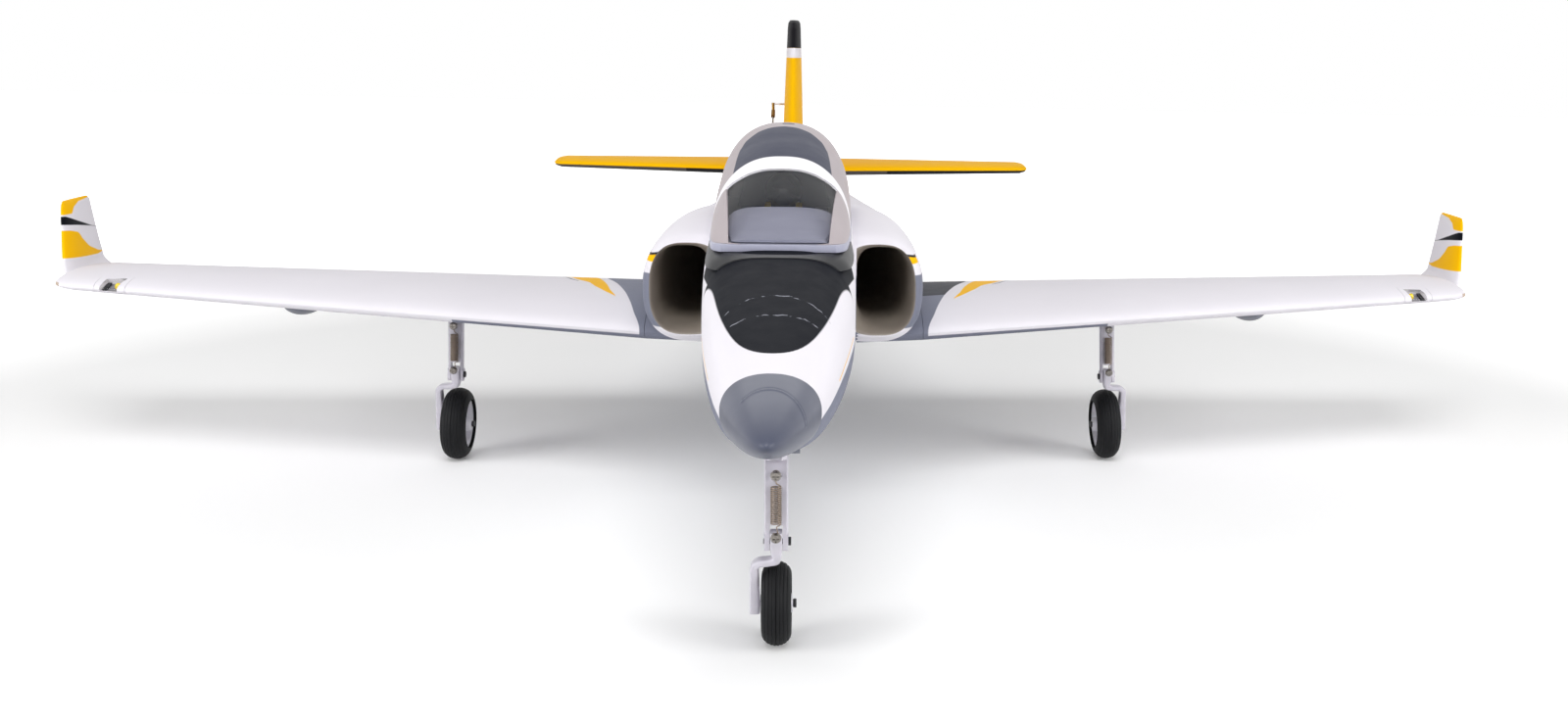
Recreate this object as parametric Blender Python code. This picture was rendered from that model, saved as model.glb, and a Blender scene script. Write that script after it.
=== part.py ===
"""A foam ducted-fan sport jet for radio control, on sprung, retractable tricycle gear.

Sizes are in millimetres, named below, and point() turns them into metres.
X runs across the span with the aircraft's left at +X, s runs aft from the nose tip,
and Z runs up from the floor. The origin is on the floor under the middle of the aircraft.
"""
import math
from collections import namedtuple

import bmesh
import bpy
import numpy as np
from mathutils import Matrix, Vector

MM = 0.001
GAP = 0.3
REACH = 400.0

# Overall sizes
LENGTH = 1140.0
SPAN = 1108.0

# Fuselage
CONE_LENGTH = 70.0
CONE_TIP_Z = 158.0
CONE_SPIGOT_RADIUS = 13.0
CONE_SPIGOT_LENGTH = 6.0
TAIL_SEAM = 700.0
BODY_END = LENGTH - 28.0
TAIL_QUARTER_S = TAIL_SEAM + 0.182 * (BODY_END - TAIL_SEAM)
TAIL_WAIST_S = TAIL_SEAM + 0.364 * (BODY_END - TAIL_SEAM)
TAIL_ROOT_S = TAIL_SEAM + 0.546 * (BODY_END - TAIL_SEAM)
TAIL_HOLLOW_S = TAIL_SEAM + 0.607 * (BODY_END - TAIL_SEAM)
TAIL_SHOULDER_S = TAIL_SEAM + 0.728 * (BODY_END - TAIL_SEAM)
NACELLE_END_S = TAIL_SEAM + 0.898 * (BODY_END - TAIL_SEAM)
BODY_WALL = 4.5
HOLLOW_FRONT = 575.0
HOLLOW_INNER_X = 46.0
HOLLOW_POINTS = 12
BODY_POINTS = 24
NACELLE_POINTS = 20
SPINE_POINTS = 18

# Hatch, canopy and cockpit
HATCH_FRONT = 241.0
HATCH_REAR = 520.0
DECK_Z = 204.0
HATCH_BASE_HEIGHT = 4.0
CANOPY_WALL = 1.2
CANOPY_POINTS = 20
TUB_FRONT = 292.0
TUB_REAR = 445.0
TUB_HALF_WIDTH = 22.0
TUB_FLOOR_Z = 194.5
TUB_WALL = 1.4
COAMING_TOP_Z = 216.0
PILOT_S = 398.0
HELMET_RADIUS = 12.3

# Battery bay and what it holds
BAY_FRONT = 255.0
BAY_REAR = 500.0
BAY_HALF_WIDTH = 25.0
BAY_FLOOR_Z = 156.5
BATTERY_SIZE = (45.0, 142.0, 36.0)
BATTERY_FRONT = 258.0
ESC_SIZE = (28.0, 48.0, 14.0)
ESC_FRONT = 448.0
RECEIVER_SIZE = (14.0, 40.0, 13.0)

# Ducted fan
FAN_Z = 166.0
FAN_FRONT = 612.0
FAN_LENGTH = 52.0
FAN_BORE_RADIUS = 35.3
FAN_WALL = 2.6
FAN_TIP_GAP = 0.7
FAN_BLADES = 10
FAN_POINTS = 20
FAN_VANES = 5
MOTOR_RADIUS = 15.0
MOTOR_LENGTH = 56.0
SHAFT_RADIUS = 2.0
SPINNER_RADIUS = 17.0
SPINNER_LENGTH = 16.0
ROTOR_DEPTH = 14.0
TUBE_WALL = 0.8
TUBE_FRONT_RADIUS = 37.5
TUBE_REAR_RADIUS = 33.5
DUCT_WALL = 1.0
MOUTH_S = 390.0
DUCT_END_S = 580.0
PLENUM_FRONT = 560.0
PLENUM_RADIUS = 27.0
DUCT_POINTS = 18

# Wing
WING_ROOT_X = 96.0
WING_ROOT_LEAD = 452.0
WING_ROOT_TRAIL = 685.0
WING_ROOT_Z = 121.0
WING_ROOT_THICKNESS = 25.0
WING_TIP_INSET = 38.0
WING_TIP_LEAD = 545.0
WING_TIP_TRAIL = 664.0
WING_TIP_Z = 134.6
WING_TIP_THICKNESS = 12.5
WING_CAMBER = 0.015
EDGE_THICKNESS = 1.4
FOIL_STEPS = 9
SPAR_RADIUS = 5.0
SPAR_S = 515.0
SPAR_Z = 127.0
SPAR_HALF_LENGTH = 235.0
WINGLET_TOP_Z = 189.0
WINGLET_LEAN = 8.0
WINGLET_TOE = 0.1

# Control surfaces
WING_HINGE_S = 632.0
HINGE_GAP = 0.6
FLAP_INNER_X = 104.0
FLAP_OUTER_X = 318.0
FLAP_SLANT = math.radians(44.0)
AILERON_INNER_X = 330.0
AILERON_OUTER_X = SPAN / 2 - 54.0
AILERON_SLANT = math.radians(30.0)
SURFACE_END_GAP = 1.5
AILERON_HORN_X = 364.0
HORN_THICKNESS = 2.0
HORN_DROP = 13.0
ROD_RADIUS = 1.0
FAIRING_S = 590.0
FAIRING_HALF_LENGTH = 36.0
FAIRING_HALF_WIDTH = 15.5
FAIRING_LOW_Z = 109.0

# Tail
STAB_ROOT_X = 38.0
STAB_HALF_SPAN = 244.0
STAB_ROOT_TRAIL = LENGTH - 47.0
STAB_ROOT_LEAD = STAB_ROOT_TRAIL - 149.0
STAB_TIP_LEAD = STAB_ROOT_TRAIL - 108.0
STAB_TIP_TRAIL = STAB_ROOT_TRAIL - 10.0
STAB_Z = 196.0
STAB_ROOT_THICKNESS = 15.0
STAB_TIP_THICKNESS = 10.0
ELEVATOR_HINGE_S = STAB_ROOT_TRAIL - 45.0
ELEVATOR_INNER_X = 62.0
ELEVATOR_OUTER_X = 228.0
FIN_ROOT_Z = 206.0
FIN_TOP_Z = 343.5
FIN_ROOT_LEAD = LENGTH - 295.0
FIN_TIP_LEAD = LENGTH - 134.0
FIN_ROOT_TRAIL = LENGTH - 13.0
FIN_ROOT_THICKNESS = 21.0
FIN_TIP_THICKNESS = 13.0
RUDDER_LOW_Z = 214.0
RUDDER_HINGE_LOW_S = LENGTH - 74.0
RUDDER_HINGE_TOP_S = LENGTH - 54.0
RUDDER_HORN_Z = 256.0
RUDDER_HORN_REACH = 22.7
LINK_STUD_RADIUS = 1.6
LINK_GAP = 0.5
TAIL_V_SLANT = math.radians(33.0)
PUSHROD_DROP = math.radians(26.0)
PUSHROD_LENGTH = 112.0

# Landing gear
MAIN_PIVOT = (247.0, 562.0, 121.0)
NOSE_PIVOT = (0.0, 181.0, 115.0)
MAIN_WHEEL_RADIUS = 27.3
NOSE_WHEEL_RADIUS = 22.5
MAIN_TYRE_WIDTH = 19.0
NOSE_TYRE_WIDTH = 16.0
MAIN_SPLAY = math.radians(2.5)
TRAIL = 8.0
NOSE_WELL_ROOM = 9.0
NOSE_STRUT_RADIUS = 6.3
MAIN_STRUT_RADIUS = 5.7
STRUT_FLAT = 3.2
MAIN_LINK_Z = 67.5
NOSE_LINK_Z = 59.8
LINK_SCREW_RISE = 4.7
MAIN_SPRING_TOP_Z = 106.0
NOSE_SPRING_TOP_Z = 98.0
SCREW_SHANK_RADIUS = 1.4
SCREW_HEAD_RADIUS = 2.9
SCREW_HEAD_HEIGHT = 2.0
PIN_RADIUS = 1.5
ARM_WIDTH = 6.4
ARM_DEPTH = 9.0
ARM_FOOT_WIDTH = 5.5
SHOULDER_THICKNESS = 4.0
SHOULDER_GAP = 0.8
SIDE_GAP = 0.9
FOOT_RADIUS = 5.0
AXLE_RADIUS = 1.75
TRUNNION_RADIUS = 5.6
TRUNNION_HALF_LENGTH = 8.5
CHEEK_THICKNESS = 3.6
RIM_DEPTH = 9.0
WHEEL_POINTS = 18
SPRING_WIRE = 1.1
SPRING_RADIUS = 2.7
SPRING_PITCH = 2.2
SPRING_POINTS = 8

# Wing-tip light
LIGHT_INNER_X = SPAN / 2 - 80.0
LIGHT_OUTER_X = SPAN / 2 - 56.0
LIGHT_DEPTH = 17.0
LIGHT_WALL = 1.5

Look = namedtuple("Look", "colour roughness metallic")
WHITE_FOAM = Look((0.86, 0.86, 0.87), 0.45, 0.0)
GREY_PAINT = Look((0.15, 0.17, 0.20), 0.35, 0.0)
YELLOW_PAINT = Look((0.85, 0.50, 0.02), 0.40, 0.0)
DARK_DUCT = Look((0.07, 0.065, 0.055), 0.55, 0.0)
BLACK_PLASTIC = Look((0.015, 0.016, 0.018), 0.35, 0.0)
CLEAR_PLASTIC = Look((0.70, 0.73, 0.76), 0.08, 0.0)
GREY_ALLOY = Look((0.62, 0.61, 0.68), 0.35, 0.6)
STEEL = Look((0.45, 0.43, 0.40), 0.30, 1.0)
CARBON = Look((0.02, 0.02, 0.02), 0.30, 0.0)
RUBBER = Look((0.012, 0.012, 0.013), 0.70, 0.0)
HUB_PLASTIC = Look((0.55, 0.55, 0.58), 0.45, 0.0)
COCKPIT_GREY = Look((0.22, 0.24, 0.27), 0.60, 0.0)
SUIT_GREEN = Look((0.10, 0.12, 0.11), 0.70, 0.0)
LED_YELLOW = Look((0.80, 0.70, 0.05), 0.30, 0.0)
BLUE_WRAP = Look((0.03, 0.08, 0.25), 0.40, 0.0)

Station = namedtuple("Station", "s centre half_width top bottom middle top_power bottom_power")

CORE = [
    Station(CONE_LENGTH, 0, 22.5, 173.4, 137.5, 156.0, 2.2, 2.2),
    Station(100, 0, 27.2, 178.8, 129.0, 154.5, 2.5, 2.2),
    Station(140, 0, 32.4, 186.2, 121.5, 154.0, 3.1, 2.2),
    Station(190, 0, 37.8, 195.5, 115.5, 155.0, 4.0, 2.3),
    Station(HATCH_FRONT, 0, 42.0, 205.4, 112.0, 158.0, 5.4, 2.4),
    Station(264, 0, 43.0, 213.0, 112.0, 158.5, 4.8, 2.45),
    Station(300, 0, 44.0, 226.0, 112.0, 159.5, 3.7, 2.5),
    Station(350, 0, 45.2, 239.0, 112.0, 161.0, 3.0, 2.7),
    Station(MOUTH_S, 0, 46.0, 247.0, 112.0, 162.0, 2.8, 2.8),
    Station(450, 0, 47.0, 255.0, 112.0, 163.0, 2.6, 2.9),
    Station(HATCH_REAR, 0, 48.0, 250.0, 112.0, 164.0, 2.5, 3.0),
    Station(600, 0, 48.6, 241.0, 112.8, 164.5, 2.5, 3.0),
    Station(TAIL_SEAM, 0, 49.0, 227.0, 114.0, 165.0, 2.5, 3.0),
    Station(TAIL_WAIST_S, 0, 47.5, 213.5, 119.0, FAN_Z, 2.5, 2.6),
    Station(TAIL_SHOULDER_S, 0, 44.5, 209.5, 123.5, FAN_Z, 2.4, 2.3),
    Station(BODY_END, 0, 40.5, 206.5, 125.5, FAN_Z, 2.0, 2.0),
]
SPINE = [
    Station(HATCH_REAR, 0, 43.0, 257.0, 190.0, 208.0, 2.35, 2.0),
    Station(600, 0, 40.0, 247.5, 190.0, 207.0, 2.25, 2.0),
    Station(TAIL_SEAM, 0, 34.0, 235.0, 190.0, 206.0, 2.15, 2.0),
    Station(TAIL_WAIST_S, 0, 23.0, 219.5, 188.0, 204.0, 2.05, 2.0),
    Station(TAIL_SHOULDER_S, 0, 12.0, 208.0, 184.0, 198.0, 2.0, 2.0),
]
NACELLE = [
    Station(MOUTH_S, 57.5, 31.0, 193.5, 128.0, 159.0, 2.5, 2.6),
    Station(396, 57.0, 33.2, 196.5, 125.6, 159.0, 2.4, 2.6),
    Station(412, 55.5, 36.6, 200.5, 123.2, 159.5, 2.15, 2.6),
    Station(450, 52.5, 41.5, 203.7, 120.5, 160.5, 1.9, 2.7),
    Station(500, 52.0, 43.0, 202.2, 118.0, 161.5, 1.85, 2.8),
    Station(600, 51.0, 43.0, 195.0, 116.5, 163.0, 1.85, 2.9),
    Station(TAIL_SEAM, 47.0, 42.0, 186.5, 117.0, 164.0, 1.85, 2.8),
    Station(TAIL_WAIST_S, 36.0, 36.0, 182.0, 123.0, 165.0, 1.9, 2.5),
    Station(TAIL_SHOULDER_S, 22.0, 28.5, 180.0, 131.0, FAN_Z, 2.0, 2.3),
    Station(NACELLE_END_S, 14.0, 26.0, 178.0, 138.0, FAN_Z, 2.0, 2.2),
]
DUCT = [
    Station(MOUTH_S, 64.8, 18.0, 188.0, 134.5, 161.0, 3.2, 3.2),
    Station(420, 64.4, 18.0, 189.0, 135.0, 162.0, 3.0, 3.0),
    Station(480, 56.0, 20.0, 191.0, 139.0, 165.0, 2.6, 2.6),
    Station(540, 42.0, 20.0, 193.0, 140.5, FAN_Z, 2.3, 2.3),
    Station(DUCT_END_S, 27.0, 17.0, 192.0, 141.0, FAN_Z, 2.2, 2.2),
]
CANOPY = [
    Station(HATCH_FRONT, 0, 31.0, 208.2, DECK_Z, DECK_Z, 3.0, 2.0),
    Station(246, 0, 35.2, 211.0, DECK_Z, DECK_Z, 3.0, 2.0),
    Station(253, 0, 37.2, 214.5, DECK_Z, DECK_Z, 2.9, 2.0),
    Station(264, 0, 38.4, 219.0, DECK_Z, DECK_Z, 2.8, 2.0),
    Station(300, 0, 40.4, 230.5, DECK_Z, DECK_Z, 2.7, 2.0),
    Station(350, 0, 42.2, 243.2, DECK_Z, DECK_Z, 2.5, 2.0),
    Station(400, 0, 43.6, 256.0, DECK_Z, DECK_Z, 2.4, 2.0),
    Station(450, 0, 44.2, 264.8, DECK_Z, DECK_Z, 2.35, 2.0),
    Station(490, 0, 43.8, 262.8, DECK_Z, DECK_Z, 2.35, 2.0),
    Station(HATCH_REAR, 0, 43.0, 257.0, DECK_Z, DECK_Z, 2.35, 2.0),
]
HATCH_MARKS = [246, 253, 264, 300, 350, 400, 450, 490]


# Building blocks

def point(x, s, z):
    """Turn a place in millimetres, s measured aft from the nose, into metres."""
    return Vector((x * MM, (s - LENGTH / 2) * MM, z * MM))


def local(x, y, z):
    """Turn a place in a leg's own frame from millimetres into metres."""
    return Vector((x * MM, y * MM, z * MM))


def give_material(obj, look):
    """Give an object its own painted, moulded or metal finish."""
    material = bpy.data.materials.new(obj.name)
    material.use_nodes = True
    shader = material.node_tree.nodes["Principled BSDF"]
    shader.inputs["Base Color"].default_value = (*look.colour, 1.0)
    shader.inputs["Roughness"].default_value = look.roughness
    shader.inputs["Metallic"].default_value = look.metallic
    obj.data.materials.append(material)


def add_object(name, data, look=None, parent=None):
    """Link data as a named object; without a look it is only a tool for cutting or joining."""
    obj = bpy.data.objects.new(name, data)
    bpy.context.collection.objects.link(obj)
    obj.parent = parent
    if look is None:
        obj.hide_render = True
        obj.display_type = "WIRE"
    else:
        give_material(obj, look)
    return obj


def add_mesh(name, bm, look=None, parent=None):
    """Turn a bmesh into a named object, faces out and shaded smooth."""
    bmesh.ops.recalc_face_normals(bm, faces=bm.faces[:])
    mesh = bpy.data.meshes.new(name)
    bm.to_mesh(mesh)
    bm.free()
    mesh.shade_smooth()
    mesh.set_sharp_from_angle(angle=math.radians(35))
    return add_object(name, mesh, look, parent)


def add_empty(name, place, parent=None, turn=(0.0, 0.0, 0.0)):
    """Stand an empty on a joint's axis for moving pieces to hang on."""
    empty = bpy.data.objects.new(name, None)
    bpy.context.collection.objects.link(empty)
    empty.parent = parent
    empty.location = place
    empty.rotation_euler = turn
    return empty


def set_origin(obj, place):
    """Move an object's origin onto its joint's axis and leave its shape where it is."""
    obj.data.transform(Matrix.Translation(-place))
    obj.location = place


def combine(obj, tool, operation):
    """Cut, join or intersect an object with a tool."""
    modifier = obj.modifiers.new(operation.title() + " " + tool.name, "BOOLEAN")
    modifier.operation = operation
    modifier.solver = "EXACT"
    modifier.object = tool


def cut(obj, *tools):
    for tool in tools:
        combine(obj, tool, "DIFFERENCE")


def join(obj, *tools):
    for tool in tools:
        combine(obj, tool, "UNION")


def keep(obj, tool):
    combine(obj, tool, "INTERSECT")


def loft(rings):
    """Skin closed rings of equal count and cap both ends."""
    bm = bmesh.new()
    loops = [[bm.verts.new(place) for place in ring] for ring in rings]
    for near, far in zip(loops, loops[1:]):
        for i in range(len(near)):
            j = (i + 1) % len(near)
            bm.faces.new((near[i], near[j], far[j], far[i]))
    bm.faces.new(loops[0])
    bm.faces.new(loops[-1])
    bmesh.ops.recalc_face_normals(bm, faces=bm.faces[:])
    return bm


def box(low, high, place=point):
    """A box between two corners in millimetres."""
    x0, y0, z0 = low
    x1, y1, z1 = high
    near = [place(x0, y0, z0), place(x1, y0, z0), place(x1, y0, z1), place(x0, y0, z1)]
    far = [place(x0, y1, z0), place(x1, y1, z0), place(x1, y1, z1), place(x0, y1, z1)]
    return loft([near, far])


def rod(start, end, radius, count=12, end_radius=None):
    """A round bar, or a cone, between two places in metres; the radii are in millimetres."""
    along = end - start
    bm = bmesh.new()
    far_radius = radius if end_radius is None else end_radius
    bmesh.ops.create_cone(
        bm, cap_ends=True, segments=count, radius1=radius * MM, radius2=far_radius * MM, depth=along.length)
    turn = Vector((0, 0, 1)).rotation_difference(along).to_matrix().to_4x4()
    bmesh.ops.transform(bm, matrix=Matrix.Translation((start + end) / 2) @ turn, verts=bm.verts[:])
    return bm


def turned(profile, count, place, phase=0.5):
    """Spin a closed profile of (radius, along) about an axis; place(a, b, along) sets the axis."""
    rings = []
    for radius, along in profile:
        ring = []
        for i in range(count):
            angle = 2 * math.pi * (i + phase) / count
            ring.append(place(radius * math.cos(angle), radius * math.sin(angle), along))
        rings.append(ring)
    bm = bmesh.new()
    loops = [[bm.verts.new(spot) for spot in ring] for ring in rings]
    for near, far in zip(loops, loops[1:] + loops[:1]):
        for i in range(count):
            j = (i + 1) % count
            bm.faces.new((near[i], near[j], far[j], far[i]))
    return bm


def curve_value(places, values, place):
    """Read a smooth curve through the given values that never overshoots them."""
    if place <= places[0]:
        return values[0]
    if place >= places[-1]:
        return values[-1]
    steps = np.diff(places)
    slopes = np.diff(values) / steps
    tangents = [slopes[0]]
    for before, after in zip(slopes, slopes[1:]):
        tangents.append(0.0 if before * after <= 0 else 2 * before * after / (before + after))
    tangents.append(slopes[-1])
    i = int(np.searchsorted(places, place, side="right")) - 1
    t = (place - places[i]) / steps[i]
    ease = t * t * (3 - 2 * t)
    start_pull = t * (1 - t) ** 2 * steps[i] * tangents[i]
    end_pull = t * t * (t - 1) * steps[i] * tangents[i + 1]
    return values[i] * (1 - ease) + values[i + 1] * ease + start_pull + end_pull


def station_at(stations, s):
    """The smoothly blended station at s."""
    places = [station.s for station in stations]
    columns = list(zip(*stations))
    return Station(s, *(curve_value(places, column, s) for column in columns[1:]))


def oval(station, count, side=1, grow=0.0, s=None):
    """A ring of a station's outline: a rounded box, with its own roundness above and below."""
    ring = []
    for i in range(count):
        angle = 2 * math.pi * (i + 0.5) / count
        across = math.cos(angle)
        up = math.sin(angle)
        power = station.top_power if up >= 0 else station.bottom_power
        rise = station.top - station.middle if up >= 0 else station.middle - station.bottom
        x = (station.half_width + grow) * math.copysign(abs(across) ** (2 / power), across)
        z = (rise + grow) * math.copysign(abs(up) ** (2 / power), up)
        ring.append(point(side * (station.centre + x), station.s if s is None else s, station.middle + z))
    return ring


def body_loft(stations, marks, count, side=1, grow=0.0):
    return loft([oval(station_at(stations, s), count, side, grow, s) for s in marks])


def foil_ring(place, lead, trail, thickness, camber=0.0, grow=0.0):
    """A ring round a wing section; place(s, height) puts each of its points."""
    chord = trail - lead
    ring = []
    for i in range(2 * FOIL_STEPS + 1):
        upper = i <= FOIL_STEPS
        u = (1 - math.cos(math.pi * abs(FOIL_STEPS - i) / FOIL_STEPS)) / 2
        shape = 0.2969 * math.sqrt(u) - 0.126 * u - 0.3516 * u ** 2 + 0.2843 * u ** 3 - 0.1036 * u ** 4
        half = 5 * thickness * shape + EDGE_THICKNESS / 2 * u + grow
        bow = 4 * camber * chord * u * (1 - u)
        ring.append(place(lead - grow + u * (chord + 2 * grow), bow + (half if upper else -half)))
    return ring


def clear_scene():
    for obj in list(bpy.data.objects):
        bpy.data.objects.remove(obj)
    for stack in (bpy.data.meshes, bpy.data.curves, bpy.data.materials):
        for item in list(stack):
            stack.remove(item)


# Fuselage, nose cone and ducts

CORE_MARKS = [CONE_LENGTH, 100, 140, 190, HATCH_FRONT, 264, 300, 350, MOUTH_S, 450, HATCH_REAR, 600]
TAIL_MARKS = [TAIL_QUARTER_S, TAIL_WAIST_S, TAIL_ROOT_S, TAIL_SHOULDER_S, BODY_END]
NACELLE_MARKS = [MOUTH_S, 396, 404, 412, 430, 450, 500, 600]
NACELLE_TAIL_MARKS = TAIL_MARKS[:-1] + [NACELLE_END_S]
SPINE_MARKS = [600]
SPINE_TAIL_MARKS = TAIL_MARKS[:-1]
DUCT_MARKS = [MOUTH_S + 5, 425, 470, 515, 566]
SEAM_OVERLAP = 12.0


def side_name(side):
    return "left" if side > 0 else "right"


def tube_radius(s):
    """The thrust tube's outer radius, which narrows towards the tail."""
    share = (s - FAN_FRONT - FAN_LENGTH) / (BODY_END - FAN_FRONT - FAN_LENGTH)
    return TUBE_FRONT_RADIUS + (TUBE_REAR_RADIUS - TUBE_FRONT_RADIUS) * share


def fan_place(a, b, along):
    return point(a, along, FAN_Z + b)


def fan_ring(radius, s):
    angles = [2 * math.pi * (i + 0.5) / FAN_POINTS for i in range(FAN_POINTS)]
    return [fan_place(radius * math.cos(angle), radius * math.sin(angle), s) for angle in angles]


def fan_loft(sections):
    """A solid of round sections, each a radius at s, about the fan's axis."""
    return loft([fan_ring(radius, s) for radius, s in sections])


def duct_cutter(side):
    marks = [MOUTH_S - GAP] + DUCT_MARKS + [DUCT_END_S]
    return add_mesh(side_name(side) + "_duct_cutter", body_loft(DUCT, marks, DUCT_POINTS, side))


def intake_duct(side):
    """A thin moulded liner from the intake lip towards the fan."""
    outer = body_loft(DUCT, DUCT_MARKS, DUCT_POINTS, side, -GAP)
    liner = add_mesh(side_name(side) + "_intake_duct", outer, DARK_DUCT)
    inner = body_loft(DUCT, [MOUTH_S] + DUCT_MARKS + [DUCT_END_S], DUCT_POINTS, side, -GAP - DUCT_WALL)
    cut(liner, add_mesh(side_name(side) + "_duct_inside", inner))


def glove(side):
    """The fuselage's own stub of wing, which the wing panel butts against."""
    rings = []
    for x, lead_shift, thickness in ((50.0, 12.0, 1.0), (WING_ROOT_X, 0.0, WING_ROOT_THICKNESS)):
        root = max(thickness, WING_ROOT_THICKNESS)
        rings.append(foil_ring(
            lambda s, h, x=x: point(side * x, s, WING_ROOT_Z + h),
            WING_ROOT_LEAD - lead_shift, WING_ROOT_TRAIL, root, WING_CAMBER))
    return add_mesh(side_name(side) + "_glove", loft(rings))


def spar_cutter():
    radius = SPAR_RADIUS + GAP
    half = SPAR_HALF_LENGTH + GAP
    return add_mesh("spar_hole", rod(point(-half, SPAR_S, SPAR_Z), point(half, SPAR_S, SPAR_Z), radius, 16))


def nose_cone():
    rings = []
    rear = station_at(CORE, CONE_LENGTH)
    for share in (0.0, 0.02, 0.08, 0.2, 0.42, 0.7, 1.0):
        s = share * (CONE_LENGTH - GAP)
        size = (0.035 + 0.965 * share) ** 0.6
        middle = CONE_TIP_Z + (rear.middle - CONE_TIP_Z) * share
        power = 2.1 + 0.1 * share
        rings.append(oval(Station(
            s, 0, rear.half_width * size, middle + (rear.top - rear.middle) * size,
            middle - (rear.middle - rear.bottom) * size, middle, power, power), BODY_POINTS))
    cone = add_mesh("nose_cone", loft(rings), GREY_PAINT)
    end = CONE_LENGTH + CONE_SPIGOT_LENGTH
    start = CONE_LENGTH - CONE_SPIGOT_LENGTH
    spigot = rod(point(0, start, rear.middle), point(0, end, rear.middle), CONE_SPIGOT_RADIUS, 20)
    join(cone, add_mesh("cone_spigot", spigot))


def fuselage(spar_hole):
    """The foam body in two lengths, with the bay, wells, ducts and fan bore cut out."""
    front = add_mesh("front_fuselage", body_loft(
        CORE, CORE_MARKS + [TAIL_SEAM + SEAM_OVERLAP], BODY_POINTS), WHITE_FOAM)
    rear = add_mesh("rear_fuselage", body_loft(
        CORE, [TAIL_SEAM - SEAM_OVERLAP] + TAIL_MARKS, BODY_POINTS), WHITE_FOAM)
    spine_marks = [HATCH_REAR + GAP] + SPINE_MARKS + [TAIL_SEAM + 2 * SEAM_OVERLAP]
    spine_front = body_loft(SPINE, spine_marks, SPINE_POINTS)
    spine_rear = body_loft(SPINE, [TAIL_SEAM - 2 * SEAM_OVERLAP] + SPINE_TAIL_MARKS, SPINE_POINTS)
    join(front, add_mesh("spine_front", spine_front))
    join(rear, add_mesh("spine_rear", spine_rear))
    for side in (1, -1):
        name = side_name(side)
        overlap = SEAM_OVERLAP * (3 if side > 0 else 4)
        ahead = body_loft(NACELLE, NACELLE_MARKS + [TAIL_SEAM + overlap], NACELLE_POINTS, side)
        behind = body_loft(NACELLE, [TAIL_SEAM - overlap] + NACELLE_TAIL_MARKS, NACELLE_POINTS, side)
        join(front, add_mesh(name + "_nacelle_front", ahead), glove(side))
        join(rear, add_mesh(name + "_nacelle_rear", behind))
    seam = box((-REACH, TAIL_SEAM - GAP / 2, 0), (REACH, TAIL_SEAM + REACH, REACH))
    cut(front, add_mesh("front_seam", seam))
    seam = box((-REACH, TAIL_SEAM - REACH, 0), (REACH, TAIL_SEAM + GAP / 2, REACH))
    cut(rear, add_mesh("rear_seam", seam))
    cut(front, hatch_opening(), bay_cutter(), nose_well())
    cut(front, duct_cutter(1), duct_cutter(-1), spar_hole)
    rear_middle = station_at(CORE, CONE_LENGTH).middle
    recess = rod(
        point(0, CONE_LENGTH - CONE_SPIGOT_LENGTH, rear_middle),
        point(0, CONE_LENGTH + CONE_SPIGOT_LENGTH + GAP, rear_middle), CONE_SPIGOT_RADIUS + GAP, 20)
    cut(front, add_mesh("spigot_recess", recess))
    fan_end = FAN_FRONT + FAN_LENGTH
    seat_radius = FAN_BORE_RADIUS + FAN_WALL + GAP
    plenum = fan_loft([(PLENUM_RADIUS, PLENUM_FRONT), (FAN_BORE_RADIUS, fan_end)])
    seat = fan_loft([(seat_radius, FAN_FRONT - GAP), (seat_radius, fan_end + GAP)])
    bore = fan_loft([(tube_radius(s) + GAP, s) for s in (fan_end - GAP, BODY_END + 5)])
    bore_tool = add_mesh("thrust_bore", bore)
    cut(front, add_mesh("plenum", plenum), add_mesh("fan_seat", seat), bore_tool)
    hollow_front = TAIL_SEAM + BODY_WALL
    core_room = body_loft(
        CORE, [hollow_front] + TAIL_MARKS[:-1] + [BODY_END - 2 * BODY_WALL], HOLLOW_POINTS, 1, -BODY_WALL)
    cut(rear, add_mesh("tail_hollow", core_room))
    for side in (1, -1):
        marks = [HOLLOW_FRONT, FAN_FRONT + 38, TAIL_SEAM, TAIL_QUARTER_S, TAIL_WAIST_S, TAIL_HOLLOW_S]
        room = body_loft(NACELLE, marks, HOLLOW_POINTS, side, -BODY_WALL)
        tool = add_mesh(side_name(side) + "_nacelle_hollow", room)
        low = (side * HOLLOW_INNER_X, HOLLOW_FRONT - 20, 0)
        keep(tool, add_mesh(side_name(side) + "_hollow_limit", box(low, (side * REACH, BODY_END, REACH))))
        cut(front, tool)
        cut(rear, tool)
    cut(rear, bore_tool)
    return front, rear


def hatch_opening():
    """Room for the hatch: everything above the deck from the windscreen to the spine."""
    low = (-REACH, HATCH_FRONT, DECK_Z)
    return add_mesh("hatch_opening", box(low, (REACH, HATCH_REAR, REACH)))


def bay_cutter():
    low = (-BAY_HALF_WIDTH, BAY_FRONT, BAY_FLOOR_Z)
    return add_mesh("bay_cutter", box(low, (BAY_HALF_WIDTH, BAY_REAR, REACH)))


# Hatch, canopy and cockpit

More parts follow.
